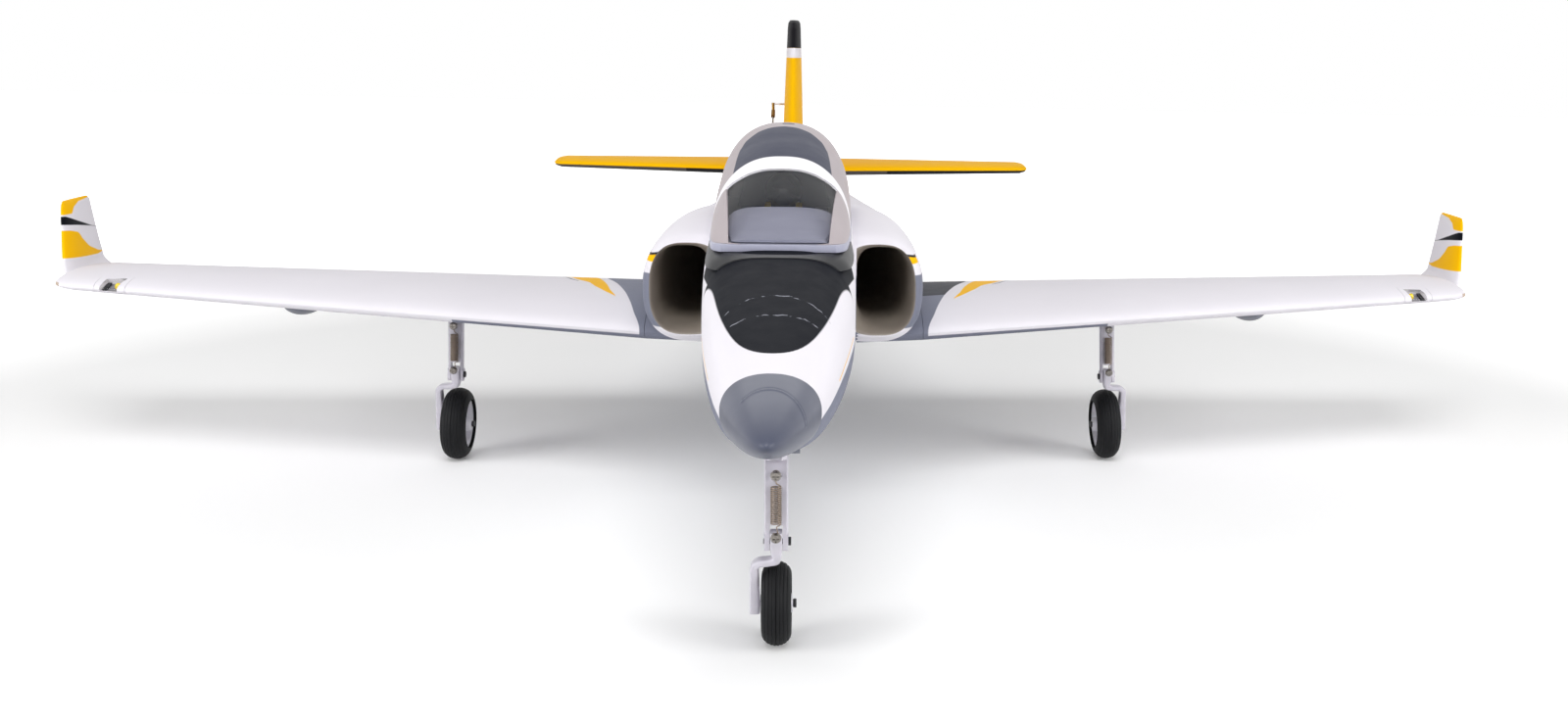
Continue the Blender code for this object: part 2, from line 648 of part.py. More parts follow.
def hatch(body_name):
    """The lift-off hatch: base, moulded canopy, cockpit tub and a helmeted pilot figure."""
    lift = add_empty(body_name, point(0, HATCH_FRONT, DECK_Z))
    base_low = DECK_Z + GAP
    base_high = base_low + HATCH_BASE_HEIGHT
    marks = [HATCH_FRONT + GAP] + HATCH_MARKS + [HATCH_REAR - GAP]
    rings = []
    for s in marks:
        half = station_at(CANOPY, s).half_width
        rings.append([point(x, s, z) for x, z in (
            (-half, base_low), (half, base_low), (half, base_high), (-half, base_high))])
    base = add_mesh("hatch_base", loft(rings), BLACK_PLASTIC)
    hole_half = TUB_HALF_WIDTH + GAP
    hole = box((-hole_half, TUB_FRONT - GAP, 0), (hole_half, TUB_REAR + GAP, REACH))
    cut(base, add_mesh("tub_hole", hole))

    foot = base_high + GAP
    outer = body_loft(CANOPY, marks, CANOPY_POINTS)
    glass = add_mesh("canopy_glass", outer, CLEAR_PLASTIC)
    inner_marks = [HATCH_FRONT + GAP + CANOPY_WALL] + marks[1:-1] + [HATCH_REAR - GAP - CANOPY_WALL]
    inner = body_loft(CANOPY, inner_marks, CANOPY_POINTS, 1, -CANOPY_WALL)
    cut(glass, add_mesh("canopy_inside", inner))
    below = box((-REACH, HATCH_FRONT - 10, 0), (REACH, HATCH_REAR + 10, foot))
    cut(glass, add_mesh("canopy_trim", below))

    cockpit(foot)
    for name in ("hatch_base", "canopy_glass", "cockpit_tub", "pilot_torso", "pilot_helmet"):
        piece = bpy.data.objects[name]
        set_origin(piece, lift.location)
        piece.parent = lift
        piece.location = (0, 0, 0)


def cockpit(foot):
    low = (-TUB_HALF_WIDTH, TUB_FRONT, TUB_FLOOR_Z)
    tub = add_mesh("cockpit_tub", box(low, (TUB_HALF_WIDTH, TUB_REAR, foot + TUB_WALL)), COCKPIT_GREY)
    flange_half = TUB_HALF_WIDTH + 7
    flange = box((-flange_half, TUB_FRONT - 20, foot), (flange_half, TUB_REAR + 8, foot + TUB_WALL))
    join(tub, add_mesh("tub_flange", flange))
    coaming_rings = []
    for s, half, top in ((TUB_FRONT - 18, 22.0, foot + 3), (TUB_FRONT + 8, 27.0, COAMING_TOP_Z - 2),
                         (TUB_FRONT + 36, 28.0, COAMING_TOP_Z)):
        coaming_rings.append([point(x, s, z) for x, z in (
            (-half, foot), (half, foot), (half, (foot + top) / 2), (half * 0.8, top), (-half * 0.8, top),
            (-half, (foot + top) / 2))])
    join(tub, add_mesh("coaming", loft(coaming_rings)))
    inside_half = TUB_HALF_WIDTH - TUB_WALL
    inside = box((-inside_half, TUB_FRONT + TUB_WALL + 8, TUB_FLOOR_Z + TUB_WALL),
                 (inside_half, TUB_REAR - TUB_WALL, COAMING_TOP_Z - TUB_WALL))
    cut(tub, add_mesh("tub_inside", inside))
    back_s = PILOT_S + 17
    back = box((-11, back_s, TUB_FLOOR_Z + TUB_WALL / 2), (11, back_s + 9, foot + 20))
    join(tub, add_mesh("seat_back", back))

    floor = TUB_FLOOR_Z + TUB_WALL + GAP
    helmet_z = floor + 15 + GAP + HELMET_RADIUS
    shoulder = floor + 15
    rings = []
    for z, half_width, half_depth in ((floor, 12.0, 8.0), (floor + 6, 15.0, 9.0), (floor + 11, 16.5, 8.5),
                                      (floor + 13.5, 11.0, 6.5), (shoulder, 6.5, 5.0)):
        rings.append([point(half_width * math.cos(a), PILOT_S + half_depth * math.sin(a), z)
                      for a in (2 * math.pi * i / 14 for i in range(14))])
    add_mesh("pilot_torso", loft(rings), SUIT_GREEN)
    helmet = bmesh.new()
    bmesh.ops.create_uvsphere(helmet, u_segments=14, v_segments=8, radius=HELMET_RADIUS * MM)
    bmesh.ops.scale(helmet, vec=(1.0, 1.12, 1.0), verts=helmet.verts[:])
    bmesh.ops.translate(helmet, vec=point(0, PILOT_S, helmet_z), verts=helmet.verts[:])
    add_mesh("pilot_helmet", helmet, BLACK_PLASTIC)


# Ducted fan and electrics

def fan_unit():
    end = FAN_FRONT + FAN_LENGTH
    outer = FAN_BORE_RADIUS + FAN_WALL
    sleeve = MOTOR_RADIUS + GAP
    vane_front = FAN_FRONT + SPINNER_LENGTH + ROTOR_DEPTH + 2
    profile = [(FAN_BORE_RADIUS, FAN_FRONT), (outer, FAN_FRONT), (outer, end), (FAN_BORE_RADIUS, end)]
    housing = add_mesh("fan_housing", turned(profile, FAN_POINTS, fan_place), BLACK_PLASTIC)
    profile = [(sleeve, vane_front), (sleeve + 1.6, vane_front), (sleeve + 1.6, end), (sleeve, end)]
    vanes = turned(profile, 16, fan_place)
    join(housing, vane_tool(vane_front + 3, end - 3, sleeve + 0.8, outer - FAN_WALL / 2),
         add_mesh("motor_sleeve", vanes))

    motor_front = vane_front
    motor = rod(point(0, motor_front, FAN_Z), point(0, motor_front + MOTOR_LENGTH, FAN_Z), MOTOR_RADIUS, 24)
    motor_object = add_mesh("motor", motor, STEEL)
    shaft = rod(
        point(0, FAN_FRONT + 4, FAN_Z), point(0, motor_front + 5, FAN_Z), SHAFT_RADIUS, 12)
    join(motor_object, add_mesh("motor_shaft", shaft))

    hub_end = FAN_FRONT + SPINNER_LENGTH + ROTOR_DEPTH
    bore = SHAFT_RADIUS + GAP / 2
    rise = [(bore, FAN_FRONT + 3), (bore, hub_end), (SPINNER_RADIUS, hub_end)]
    for i in range(4):
        angle = math.pi / 2 * i / 4
        rise.append((SPINNER_RADIUS * math.cos(angle), FAN_FRONT + SPINNER_LENGTH * (1 - math.sin(angle))))
    rotor_bm = turned(rise, 16, fan_place)
    nose_cap = rod(
        point(0, FAN_FRONT - 2, FAN_Z), point(0, FAN_FRONT + 3.6, FAN_Z), bore + 3.0, 16)
    rotor = add_mesh("fan_rotor", rotor_bm, BLACK_PLASTIC)
    join(rotor, add_mesh("spinner_cap", nose_cap), blade_tool(hub_end))
    set_origin(rotor, point(0, FAN_FRONT, FAN_Z))

    back = BODY_END + 2
    rings = []
    for s in (end + GAP, back):
        rings.append((tube_radius(s), s))
    profile = rings + [(radius - TUBE_WALL, s) for radius, s in reversed(rings)]
    add_mesh("thrust_tube", turned(profile, FAN_POINTS, fan_place), STEEL)


def vane_tool(front, back, inner, outer):
    """Straight stator vanes between the motor sleeve and the fan's wall."""
    bm = bmesh.new()
    for i in range(FAN_VANES):
        turn = Matrix.Rotation(2 * math.pi * i / FAN_VANES, 4, "Y")
        low = (-1.0, front, FAN_Z + inner)
        piece = box(low, (1.0, back, FAN_Z + outer))
        centre = Matrix.Translation(point(0, 0, FAN_Z))
        bmesh.ops.transform(piece, matrix=centre @ turn @ centre.inverted(), verts=piece.verts[:])
        merge_into(bm, piece)
    return add_mesh("stator_vanes", bm)


def blade_tool(hub_end):
    """Twisted rotor blades, coarser in pitch at the root than at the tip."""
    bm = bmesh.new()
    middle = hub_end - ROTOR_DEPTH / 2
    tip = FAN_BORE_RADIUS - FAN_TIP_GAP
    for i in range(FAN_BLADES):
        spin = 2 * math.pi * i / FAN_BLADES
        rings = []
        for radius, twist, chord, thick in (
                (SPINNER_RADIUS - 2, 48, 12.0, 1.8), ((SPINNER_RADIUS + tip) / 2, 38, 13.0, 1.4),
                (tip, 30, 13.0, 1.0)):
            lean = math.radians(twist)
            ring = []
            for u, h in ((-0.5, 0.0), (0.0, 0.6), (0.5, 0.0), (0.0, -0.4)):
                run = u * chord * math.sin(lean) + h * thick * math.cos(lean)
                swing = u * chord * math.cos(lean) - h * thick * math.sin(lean)
                angle = spin + swing / radius
                ring.append(fan_place(radius * math.sin(angle), radius * math.cos(angle), middle + run))
            rings.append(ring)
        merge_into(bm, loft(rings))
    return add_mesh("rotor_blades", bm)


def merge_into(bm, piece):
    """Add one bmesh's shape to another."""
    mesh = bpy.data.meshes.new("piece")
    piece.to_mesh(mesh)
    piece.free()
    bm.from_mesh(mesh)
    bpy.data.meshes.remove(mesh)


def electrics():
    floor = BAY_FLOOR_Z + GAP
    width, depth, height = BATTERY_SIZE
    low = (-width / 2, BATTERY_FRONT, floor)
    battery = add_mesh("battery", box(low, (width / 2, BATTERY_FRONT + depth, floor + height)), BLUE_WRAP)
    round_edges(battery, 4.0, 2)
    esc_front = ESC_FRONT
    width, depth, height = ESC_SIZE
    inner = -BAY_HALF_WIDTH + 1.5
    low = (inner, esc_front, floor)
    high = (inner + width, esc_front + depth, floor + height)
    esc = add_mesh("speed_controller", box(low, high), BLACK_PLASTIC)
    round_edges(esc, 1.5, 1)
    inner = inner + width + 3
    width, depth, height = RECEIVER_SIZE
    low = (inner, esc_front, floor)
    high = (inner + width, esc_front + depth, floor + height)
    receiver = add_mesh("receiver", box(low, high), BLACK_PLASTIC)
    round_edges(receiver, 1.0, 1)


def round_edges(obj, width, segments):
    bevel = obj.modifiers.new("Rounded edges", "BEVEL")
    bevel.width = width * MM
    bevel.segments = segments
    bevel.limit_method = "ANGLE"


# Wing, control surfaces and winglets

def wing_share(x):
    return (x - WING_ROOT_X) / (SPAN / 2 - WING_TIP_INSET - WING_ROOT_X)


def wing_at(x):
    """Leading edge, trailing edge, height and thickness of the wing at x."""
    t = wing_share(x)
    lead = WING_ROOT_LEAD + t * (WING_TIP_LEAD - WING_ROOT_LEAD)
    trail = WING_ROOT_TRAIL + t * (WING_TIP_TRAIL - WING_ROOT_TRAIL)
    height = WING_ROOT_Z + t * (WING_TIP_Z - WING_ROOT_Z)
    thick = WING_ROOT_THICKNESS + t * (WING_TIP_THICKNESS - WING_ROOT_THICKNESS)
    return lead, trail, height, thick


def wing_skin(x, s, upper=True):
    """The height of the wing's upper or lower skin at x and s."""
    lead, trail, height, thick = wing_at(x)
    u = (s - lead) / (trail - lead)
    shape = 0.2969 * math.sqrt(u) - 0.126 * u - 0.3516 * u ** 2 + 0.2843 * u ** 3 - 0.1036 * u ** 4
    half = 5 * thick * shape + EDGE_THICKNESS / 2 * u
    bow = 4 * WING_CAMBER * (trail - lead) * u * (1 - u)
    return height + bow + (half if upper else -half)


def wing_loft(side, grow=0.0):
    """The whole wing panel with its rounded, raked tip."""
    tip = SPAN / 2 - WING_TIP_INSET
    rings = []
    for x, lead_shift, trail_shift, share in (
            (WING_ROOT_X + GAP, 0.0, 0.0, 1.0), (tip, 0.0, 0.0, 1.0), (tip + 9, 3.0, 0.0, 0.94),
            (tip + 15, 8.0, 0.5, 0.78), (tip + 18, 15.0, 1.0, 0.5)):
        lead, trail, height, thick = wing_at(x)
        rings.append(foil_ring(
            lambda s, h, x=x, height=height: point(side * x, s, height + h),
            lead + lead_shift, trail - trail_shift, thick * share, WING_CAMBER, grow))
    return loft(rings)


def winglet(side):
    """The upturned tip, which leans out and back and fairs into the wing."""
    foot_z = WING_TIP_Z
    rise = WINGLET_TOP_Z - foot_z
    rings = []
    for up, inward, lead, trail, thick in (
            (-0.07, WINGLET_LEAN + 13, 578.0, 664.0, 10.5), (0.03, WINGLET_LEAN + 5, 581.0, 665.0, 10.0),
            (0.13, WINGLET_LEAN, 585.0, 666.0, 9.4), (0.25, WINGLET_LEAN * 0.8, 589.0, 667.0, 8.6),
            (0.6, WINGLET_LEAN * 0.4, 600.0, 667.0, 7.0), (0.95, WINGLET_LEAN * 0.05, 611.0, 667.0, 5.2),
            (1.0, 0.0, 615.0, 664.0, 3.0)):
        edge = SPAN / 2 - EDGE_THICKNESS / 2 - inward
        z = foot_z + up * rise
        rings.append(foil_ring(
            lambda s, h, edge=edge, trail=trail, z=z: point(side * (edge + h - WINGLET_TOE * (trail - s)), s, z),
            lead, trail, thick))
    return add_mesh(side_name(side) + "_winglet", loft(rings))


def hinge_prism(name, side, inner_x, outer_x, slant):
    """Everything behind a top-hinged surface's slanted front face."""
    rings = []
    for x in (inner_x, outer_x):
        top = wing_skin(x, WING_HINGE_S)
        lean = math.tan(slant)
        front = WING_HINGE_S + HINGE_GAP / 2
        rings.append([point(side * x, s, z) for s, z in (
            (front - 12 * lean, top + 12), (WING_ROOT_TRAIL + 40, top + 12),
            (WING_ROOT_TRAIL + 40, top - 40), (front + 40 * lean, top - 40))])
    return add_mesh(name, loft(rings))


def surface_cutter(name, side, inner_x, outer_x):
    front = WING_HINGE_S - HINGE_GAP / 2
    low = (side * inner_x, front, WING_ROOT_Z - 60)
    return add_mesh(name, box(low, (side * outer_x, WING_ROOT_TRAIL + 40, WING_TIP_Z + 60)))


def hinged_surface(name, side, inner_x, outer_x, slant):
    """A flap or an aileron, hinged at the upper skin so that its lower edge swings clear."""
    surface = add_mesh(name, wing_loft(side), WHITE_FOAM)
    inner = inner_x + SURFACE_END_GAP
    outer = outer_x - SURFACE_END_GAP
    keep(surface, hinge_prism(name + "_prism", side, inner, outer, slant))
    set_origin(surface, point(side * inner_x, WING_HINGE_S, wing_skin(inner_x, WING_HINGE_S)))
    return surface


def wing(side, spar_hole):
    name = side_name(side)
    panel = add_mesh(name + "_wing", wing_loft(side), WHITE_FOAM)
    join(panel, winglet(side))
    cut(panel, surface_cutter(name + "_flap_bay", side, FLAP_INNER_X, FLAP_OUTER_X))
    cut(panel, surface_cutter(name + "_aileron_bay", side, AILERON_INNER_X, AILERON_OUTER_X))
    cut(panel, spar_hole)
    cut(panel, *main_well(side))
    hinged_surface(name + "_flap", side, FLAP_INNER_X, FLAP_OUTER_X, FLAP_SLANT)
    aileron = hinged_surface(name + "_aileron", side, AILERON_INNER_X, AILERON_OUTER_X, AILERON_SLANT)
    tip_light(side, panel)
    aileron_linkage(side, aileron)


def tip_light(side, panel):
    """A landing light let into the leading edge: a clear cover over a lamp on the pocket's floor."""
    name = side_name(side)
    middle = (LIGHT_INNER_X + LIGHT_OUTER_X) / 2
    lead, trail, height, thick = wing_at(middle)
    floor = height - 3.0
    back = lead + LIGHT_DEPTH
    pocket = box((side * LIGHT_INNER_X, lead - 20, floor), (side * LIGHT_OUTER_X, back, height + 40))
    cut(panel, add_mesh(name + "_light_pocket", pocket))
    lens = add_mesh(name + "_light_cover", wing_loft(side), CLEAR_PLASTIC)
    low = (side * (LIGHT_INNER_X + GAP), lead - 20, floor + GAP)
    high = (side * (LIGHT_OUTER_X - GAP), back - GAP, height + 40)
    keep(lens, add_mesh(name + "_cover_block", box(low, high)))
    inset = GAP + LIGHT_WALL
    low = (side * (LIGHT_INNER_X + inset), lead + 4.5, floor - 5)
    high = (side * (LIGHT_OUTER_X - inset), back - inset, height + 2.2)
    cut(lens, add_mesh(name + "_cover_inside", box(low, high)))
    low = (side * (LIGHT_INNER_X + inset + 2), lead + 7.5, floor + GAP)
    lamp = box(low, (side * (LIGHT_INNER_X + inset + 9), back - inset - 2, height + 1.6))
    add_mesh(name + "_lamp", lamp, LED_YELLOW)


def aileron_linkage(side, aileron):
    """The servo fairing under the wing, the aileron's horn and the rod between them."""
    name = side_name(side)
    x = AILERON_HORN_X
    horn_s = WING_HINGE_S + 1
    skin = wing_skin(x, horn_s + 12, upper=False)
    hole_z = skin - HORN_DROP + 3
    rings = []
    for edge in (x - HORN_THICKNESS / 2, x + HORN_THICKNESS / 2):
        rings.append([point(side * edge, s, z) for s, z in (
            (horn_s - 3, hole_z - 3), (horn_s + 3, hole_z - 3),
            (horn_s + 19, skin + 3), (horn_s + 10, skin + 3))])
    tool = add_mesh(name + "_aileron_horn", loft(rings))
    join(aileron, tool)

    rod_x = x + HORN_THICKNESS / 2 + GAP + ROD_RADIUS
    middle_z = wing_skin(x, FAIRING_S, upper=False) + 1.0
    rings = []
    for i in range(8):
        angle = math.pi * (i + 0.35) / 7.7
        s = FAIRING_S - FAIRING_HALF_LENGTH * math.cos(angle)
        size = math.sin(angle) ** 0.7
        deep = (middle_z - FAIRING_LOW_Z) * size
        ring = []
        for k in range(14):
            a = 2 * math.pi * (k + 0.5) / 14
            tall = deep if k >= 7 else 3.0 * size
            ring.append(point(side * (x + FAIRING_HALF_WIDTH * size * math.cos(a)), s, middle_z + tall * math.sin(a)))
        rings.append(ring)
    fairing = add_mesh(name + "_servo_fairing", loft(rings), GREY_PAINT)
    cut(fairing, add_mesh(name + "_wing_clearance", wing_loft(side, GAP)))
    entry = FAIRING_S - 6
    hole = rod(point(side * rod_x, entry, hole_z), point(side * rod_x, horn_s + 20, hole_z), ROD_RADIUS + GAP, 8)
    cut(fairing, add_mesh(name + "_rod_hole", hole))
    end = FAIRING_S + 4
    push = rod(point(side * rod_x, end, hole_z), point(side * rod_x, horn_s + 3, hole_z), ROD_RADIUS, 8)
    push_object = add_mesh(name + "_aileron_pushrod", push, STEEL)
    set_origin(push_object, point(side * rod_x, horn_s, hole_z))


# Tail

def stab_loft(side, grow=0.0):
    rings = []
    for x, lead, trail, thick in (
            (STAB_ROOT_X, STAB_ROOT_LEAD, STAB_ROOT_TRAIL, STAB_ROOT_THICKNESS),
            (STAB_HALF_SPAN - 8, STAB_TIP_LEAD, STAB_TIP_TRAIL, STAB_TIP_THICKNESS),
            (STAB_HALF_SPAN - 2.5, STAB_TIP_LEAD + 7, STAB_TIP_TRAIL - 1, STAB_TIP_THICKNESS * 0.75),
            (STAB_HALF_SPAN, STAB_TIP_LEAD + 18, STAB_TIP_TRAIL - 4, STAB_TIP_THICKNESS * 0.35)):
        rings.append(foil_ring(
            lambda s, h, x=x: point(side * (x - (grow if x == STAB_ROOT_X else 0)), s, STAB_Z + h),
            lead, trail, thick, 0.0, grow))
    return loft(rings)


def stabiliser(side, body):
    name = side_name(side)
    plane = add_mesh(name + "_stabiliser", stab_loft(side), YELLOW_PAINT)
    cut(body, add_mesh(name + "_stab_slot", stab_loft(side, GAP)))
    low = (side * ELEVATOR_INNER_X, ELEVATOR_HINGE_S - HINGE_GAP / 2, STAB_Z - 40)
    bay = box(low, (side * ELEVATOR_OUTER_X, STAB_ROOT_TRAIL + 40, STAB_Z + 40))
    cut(plane, add_mesh(name + "_elevator_bay", bay))
    elevator = add_mesh(name + "_elevator", stab_loft(side), YELLOW_PAINT)
    lean = 20 * math.tan(TAIL_V_SLANT)
    front = ELEVATOR_HINGE_S + HINGE_GAP / 2
    rings = []
    for x in (ELEVATOR_INNER_X + SURFACE_END_GAP / 2, ELEVATOR_OUTER_X - SURFACE_END_GAP / 2):
        rings.append([point(side * x, s, STAB_Z + z) for s, z in (
            (front, 0), (front + lean, 20), (STAB_ROOT_TRAIL + 40, 20), (STAB_ROOT_TRAIL + 40, -20),
            (front + lean, -20))])
    keep(elevator, add_mesh(name + "_elevator_prism", loft(rings)))
    set_origin(elevator, point(side * ELEVATOR_INNER_X, ELEVATOR_HINGE_S, STAB_Z))


def fin_loft(grow=0.0):
    rings = []
    body_top = FIN_TOP_Z - 8
    for z, lead, trail, thick in (
            (FIN_ROOT_Z, FIN_ROOT_LEAD - 2 * grow, FIN_ROOT_TRAIL, FIN_ROOT_THICKNESS + grow),
            (body_top, FIN_TIP_LEAD - 9, LENGTH - 1, FIN_TIP_THICKNESS),
            (FIN_TOP_Z - 2.5, FIN_TIP_LEAD, LENGTH, FIN_TIP_THICKNESS * 0.78),
            (FIN_TOP_Z, FIN_TIP_LEAD + 10, LENGTH - 2, FIN_TIP_THICKNESS * 0.4)):
        rings.append(foil_ring(
            lambda s, h, z=z: point(h, s, z - (grow if z == FIN_ROOT_Z else 0)), lead, trail, thick, 0.0, grow))
    return loft(rings)


def rudder_hinge(z):
    """Where the rudder's swept hinge line stands at height z."""
    share = (z - RUDDER_LOW_Z) / (FIN_TOP_Z - RUDDER_LOW_Z)
    return RUDDER_HINGE_LOW_S + share * (RUDDER_HINGE_TOP_S - RUDDER_HINGE_LOW_S)


def fin_and_rudder(body):
    fin = add_mesh("fin", fin_loft(), YELLOW_PAINT)
    cut(body, add_mesh("fin_slot", fin_loft(GAP)))
    bay_rings = []
    prism_rings = []
    lean = 20 * math.tan(TAIL_V_SLANT)
    for z, clear in ((RUDDER_LOW_Z, 0.0), (FIN_TOP_Z + 10, 0.0)):
        front = rudder_hinge(z) - HINGE_GAP / 2
        bay_rings.append([point(x, s, z) for x, s in (
            (-40, front), (40, front), (40, LENGTH + 40), (-40, LENGTH + 40))])
    for z in (RUDDER_LOW_Z + SURFACE_END_GAP / 2, FIN_TOP_Z + 10):
        front = rudder_hinge(z) + HINGE_GAP / 2
        prism_rings.append([point(x, s, z) for x, s in (
            (0, front), (20, front + lean), (20, LENGTH + 40), (-20, LENGTH + 40), (-20, front + lean))])
    cut(fin, add_mesh("rudder_bay", loft(bay_rings)))
    stub_end = RUDDER_HINGE_LOW_S + 32
    below = box((-40, stub_end, FIN_ROOT_Z - 20), (40, LENGTH + 40, RUDDER_LOW_Z + 1))
    cut(fin, add_mesh("fin_stub_trim", below))
    rudder = add_mesh("rudder", fin_loft(), YELLOW_PAINT)
    keep(rudder, add_mesh("rudder_prism", loft(prism_rings)))

    hinge_s = rudder_hinge(RUDDER_HORN_Z)
    horn_s = hinge_s + 3
    plate_low = RUDDER_HORN_Z - 1
    plate_high = RUDDER_HORN_Z + 1
    tip = -RUDDER_HORN_REACH + LINK_STUD_RADIUS + LINK_GAP
    outline = ((-1.0, horn_s + 6), (-1.0, horn_s + 16), (-9, horn_s + 12), (tip, horn_s + 1.8),
               (tip, horn_s - 1.8), (tip + 5, horn_s - 3), (-9, horn_s + 3))
    plate = loft([[point(x, s, z) for x, s in outline] for z in (plate_low, plate_high)])
    join(rudder, add_mesh("rudder_horn", plate))
    set_origin(rudder, point(0, hinge_s, RUDDER_HORN_Z))

    stud_top = point(-RUDDER_HORN_REACH, horn_s, plate_high + 0.5)
    knuckle = stud_top - local(0, 0, 9)
    run = local(0, -math.cos(PUSHROD_DROP), -math.sin(PUSHROD_DROP))
    far = knuckle + run * PUSHROD_LENGTH
    link = add_mesh("rudder_pushrod", rod(knuckle - run * 2, far, ROD_RADIUS, 8), STEEL)
    join(link, add_mesh("link_stud", rod(knuckle - local(0, 0, 2), stud_top, LINK_STUD_RADIUS, 8)))
    set_origin(link, knuckle)
    inner = -RUDDER_HORN_REACH + ROD_RADIUS + GAP
    outer = -RUDDER_HORN_REACH - ROD_RADIUS - GAP
    far_s = horn_s - PUSHROD_LENGTH * math.cos(PUSHROD_DROP)
    slot = box((outer, far_s - 16, FIN_ROOT_Z - 16), (inner, far_s + 38, FIN_ROOT_Z + 30))
    cut(body, add_mesh("rod_slot", slot))


# Landing gear

def main_well(side):
    """Room in the wing's underside for the retracted leg and wheel and for the retract unit."""
    x, s, z = MAIN_PIVOT
    name = side_name(side)
    wheel_x = x - (z - MAIN_WHEEL_RADIUS)
    ceiling = z + MAIN_TYRE_WIDTH / 2 + 0.5
    wheel_s = s + TRAIL + 3.5
    well = rod(
        point(side * wheel_x, wheel_s, z - 60), point(side * wheel_x, wheel_s, ceiling), MAIN_WHEEL_RADIUS + 6.0, 28)
    channel = box((side * wheel_x, s - 14, z - 60), (side * x, s + 16, z + MAIN_STRUT_RADIUS + 3))
    unit_low, unit_high = unit_box()
    low = (side * (x - 11), s + unit_low[1] - GAP, z - 60)
    pocket = box(low, (side * (x + unit_high[0] + GAP), s + unit_high[1] + GAP, z + unit_high[2] + GAP))
    return (add_mesh(name + "_wheel_well", well), add_mesh(name + "_leg_channel", channel),
            add_mesh(name + "_unit_pocket", pocket))


def unit_box():
    """Corners of a main retract unit about its pivot, outboard along +x."""
    half = TRUNNION_HALF_LENGTH + GAP + CHEEK_THICKNESS
    return (-TRUNNION_RADIUS, -half, -TRUNNION_RADIUS), (42.0, half, 9.5)


def main_retract_unit(side):
    """The fixed block that holds a main leg's trunnion between two cheeks."""
    x, s, z = MAIN_PIVOT
    name = side_name(side)
    low, high = unit_box()
    block = box((side * (x + low[0]), s + low[1], z + low[2]), (side * (x + high[0]), s + high[1], z + high[2]))
    unit = add_mesh(name + "_retract_unit", block, BLACK_PLASTIC)
    half = TRUNNION_HALF_LENGTH + GAP
    swing = MAIN_STRUT_RADIUS + 2.2
    slot = box((side * (x - 20), s - half, z - 40), (side * (x + swing), s + half, z + 40))
    cut(unit, add_mesh(name + "_unit_slot", slot))
    hole = rod(point(side * x, s - 30, z), point(side * x, s + 30, z), PIN_RADIUS + GAP, 12)
    cut(unit, add_mesh(name + "_unit_hole", hole))


def nose_well():
    x, s, z = NOSE_PIVOT
    reach = z - NOSE_WHEEL_RADIUS
    top = z + TRAIL + NOSE_WHEEL_RADIUS + NOSE_WELL_ROOM
    low = (-23.0, s - 17, 0)
    return add_mesh("nose_well", box(low, (23.0, s + reach + NOSE_WHEEL_RADIUS + 6, top)))


def nose_retract_unit():
    """The fixed frame under the nose that holds the steering trunnion between two cheeks."""
    x, s, z = NOSE_PIVOT
    half = TRUNNION_HALF_LENGTH + GAP
    outer = half + CHEEK_THICKNESS
    top = z + TRAIL + NOSE_WHEEL_RADIUS + NOSE_WELL_ROOM - GAP
    low = (-outer, s - 16.5, z - 3.2)
    unit = add_mesh("nose_retract_unit", box(low, (outer, s + TRUNNION_RADIUS, top)), BLACK_PLASTIC)
    slot = box((-half, s - 10, 0), (half, s + 60, z + 14))
    cut(unit, add_mesh("nose_unit_slot", slot))
    hole = rod(point(-40, s, z), point(40, s, z), PIN_RADIUS + GAP, 12)
    cut(unit, add_mesh("nose_unit_hole", hole))


def strut(name, leg, link, spring_top, tip_side, radius):
    """A round tube with a flat for the spring and a forked foot for the trailing arm.

    The foot's pivot pin and the spring's upper screw belong to it.
    """
    barrel = rod(local(0, 0, -TRUNNION_RADIUS + 1.5), local(0, 0, -link), radius, 16)
    tube = add_mesh(name, barrel, GREY_ALLOY, leg)
    back = box((-20, FOOT_RADIUS, -link - 20), (20, 20, -link + 9.6), local)
    cut(tube, add_mesh(name + "_foot_back", back, None, leg))
    foot = rod(local(-radius, 0, -link), local(radius, 0, -link), FOOT_RADIUS, 14)
    join(tube, add_mesh(name + "_foot", foot, None, leg))
    flat = box((-20, -20, -link - 20), (20, -STRUT_FLAT, -spring_top + 7), local)
    cut(tube, add_mesh(name + "_flat", flat, None, leg))
    half = ARM_WIDTH / 2 + GAP
    fork = box((-half, -20, -link - 20), (half, 20, -link + 9.6), local)
    cut(tube, add_mesh(name + "_fork", fork, None, leg))
    pin_half = radius + 1.6
    pin = rod(local(-pin_half, 0, -link), local(pin_half, 0, -link), PIN_RADIUS, 8)
    head = rod(local(tip_side * (radius - 0.6), 0, -link), local(tip_side * pin_half, 0, -link), 2.6, 10)
    shank = rod(
        local(0, -STRUT_FLAT + 1, -spring_top), local(0, -STRUT_FLAT - 7.5, -spring_top), SCREW_SHANK_RADIUS, 8)
    head_front = -STRUT_FLAT - 6.5
    cap = rod(
        local(0, head_front, -spring_top), local(0, head_front - SCREW_HEAD_HEIGHT, -spring_top),
        SCREW_HEAD_RADIUS, 10)
    join(tube, add_mesh(name + "_pin", pin, None, leg), add_mesh(name + "_pin_head", head, None, leg),
         add_mesh(name + "_shank", shank, None, leg), add_mesh(name + "_cap", cap, None, leg))
    return tube


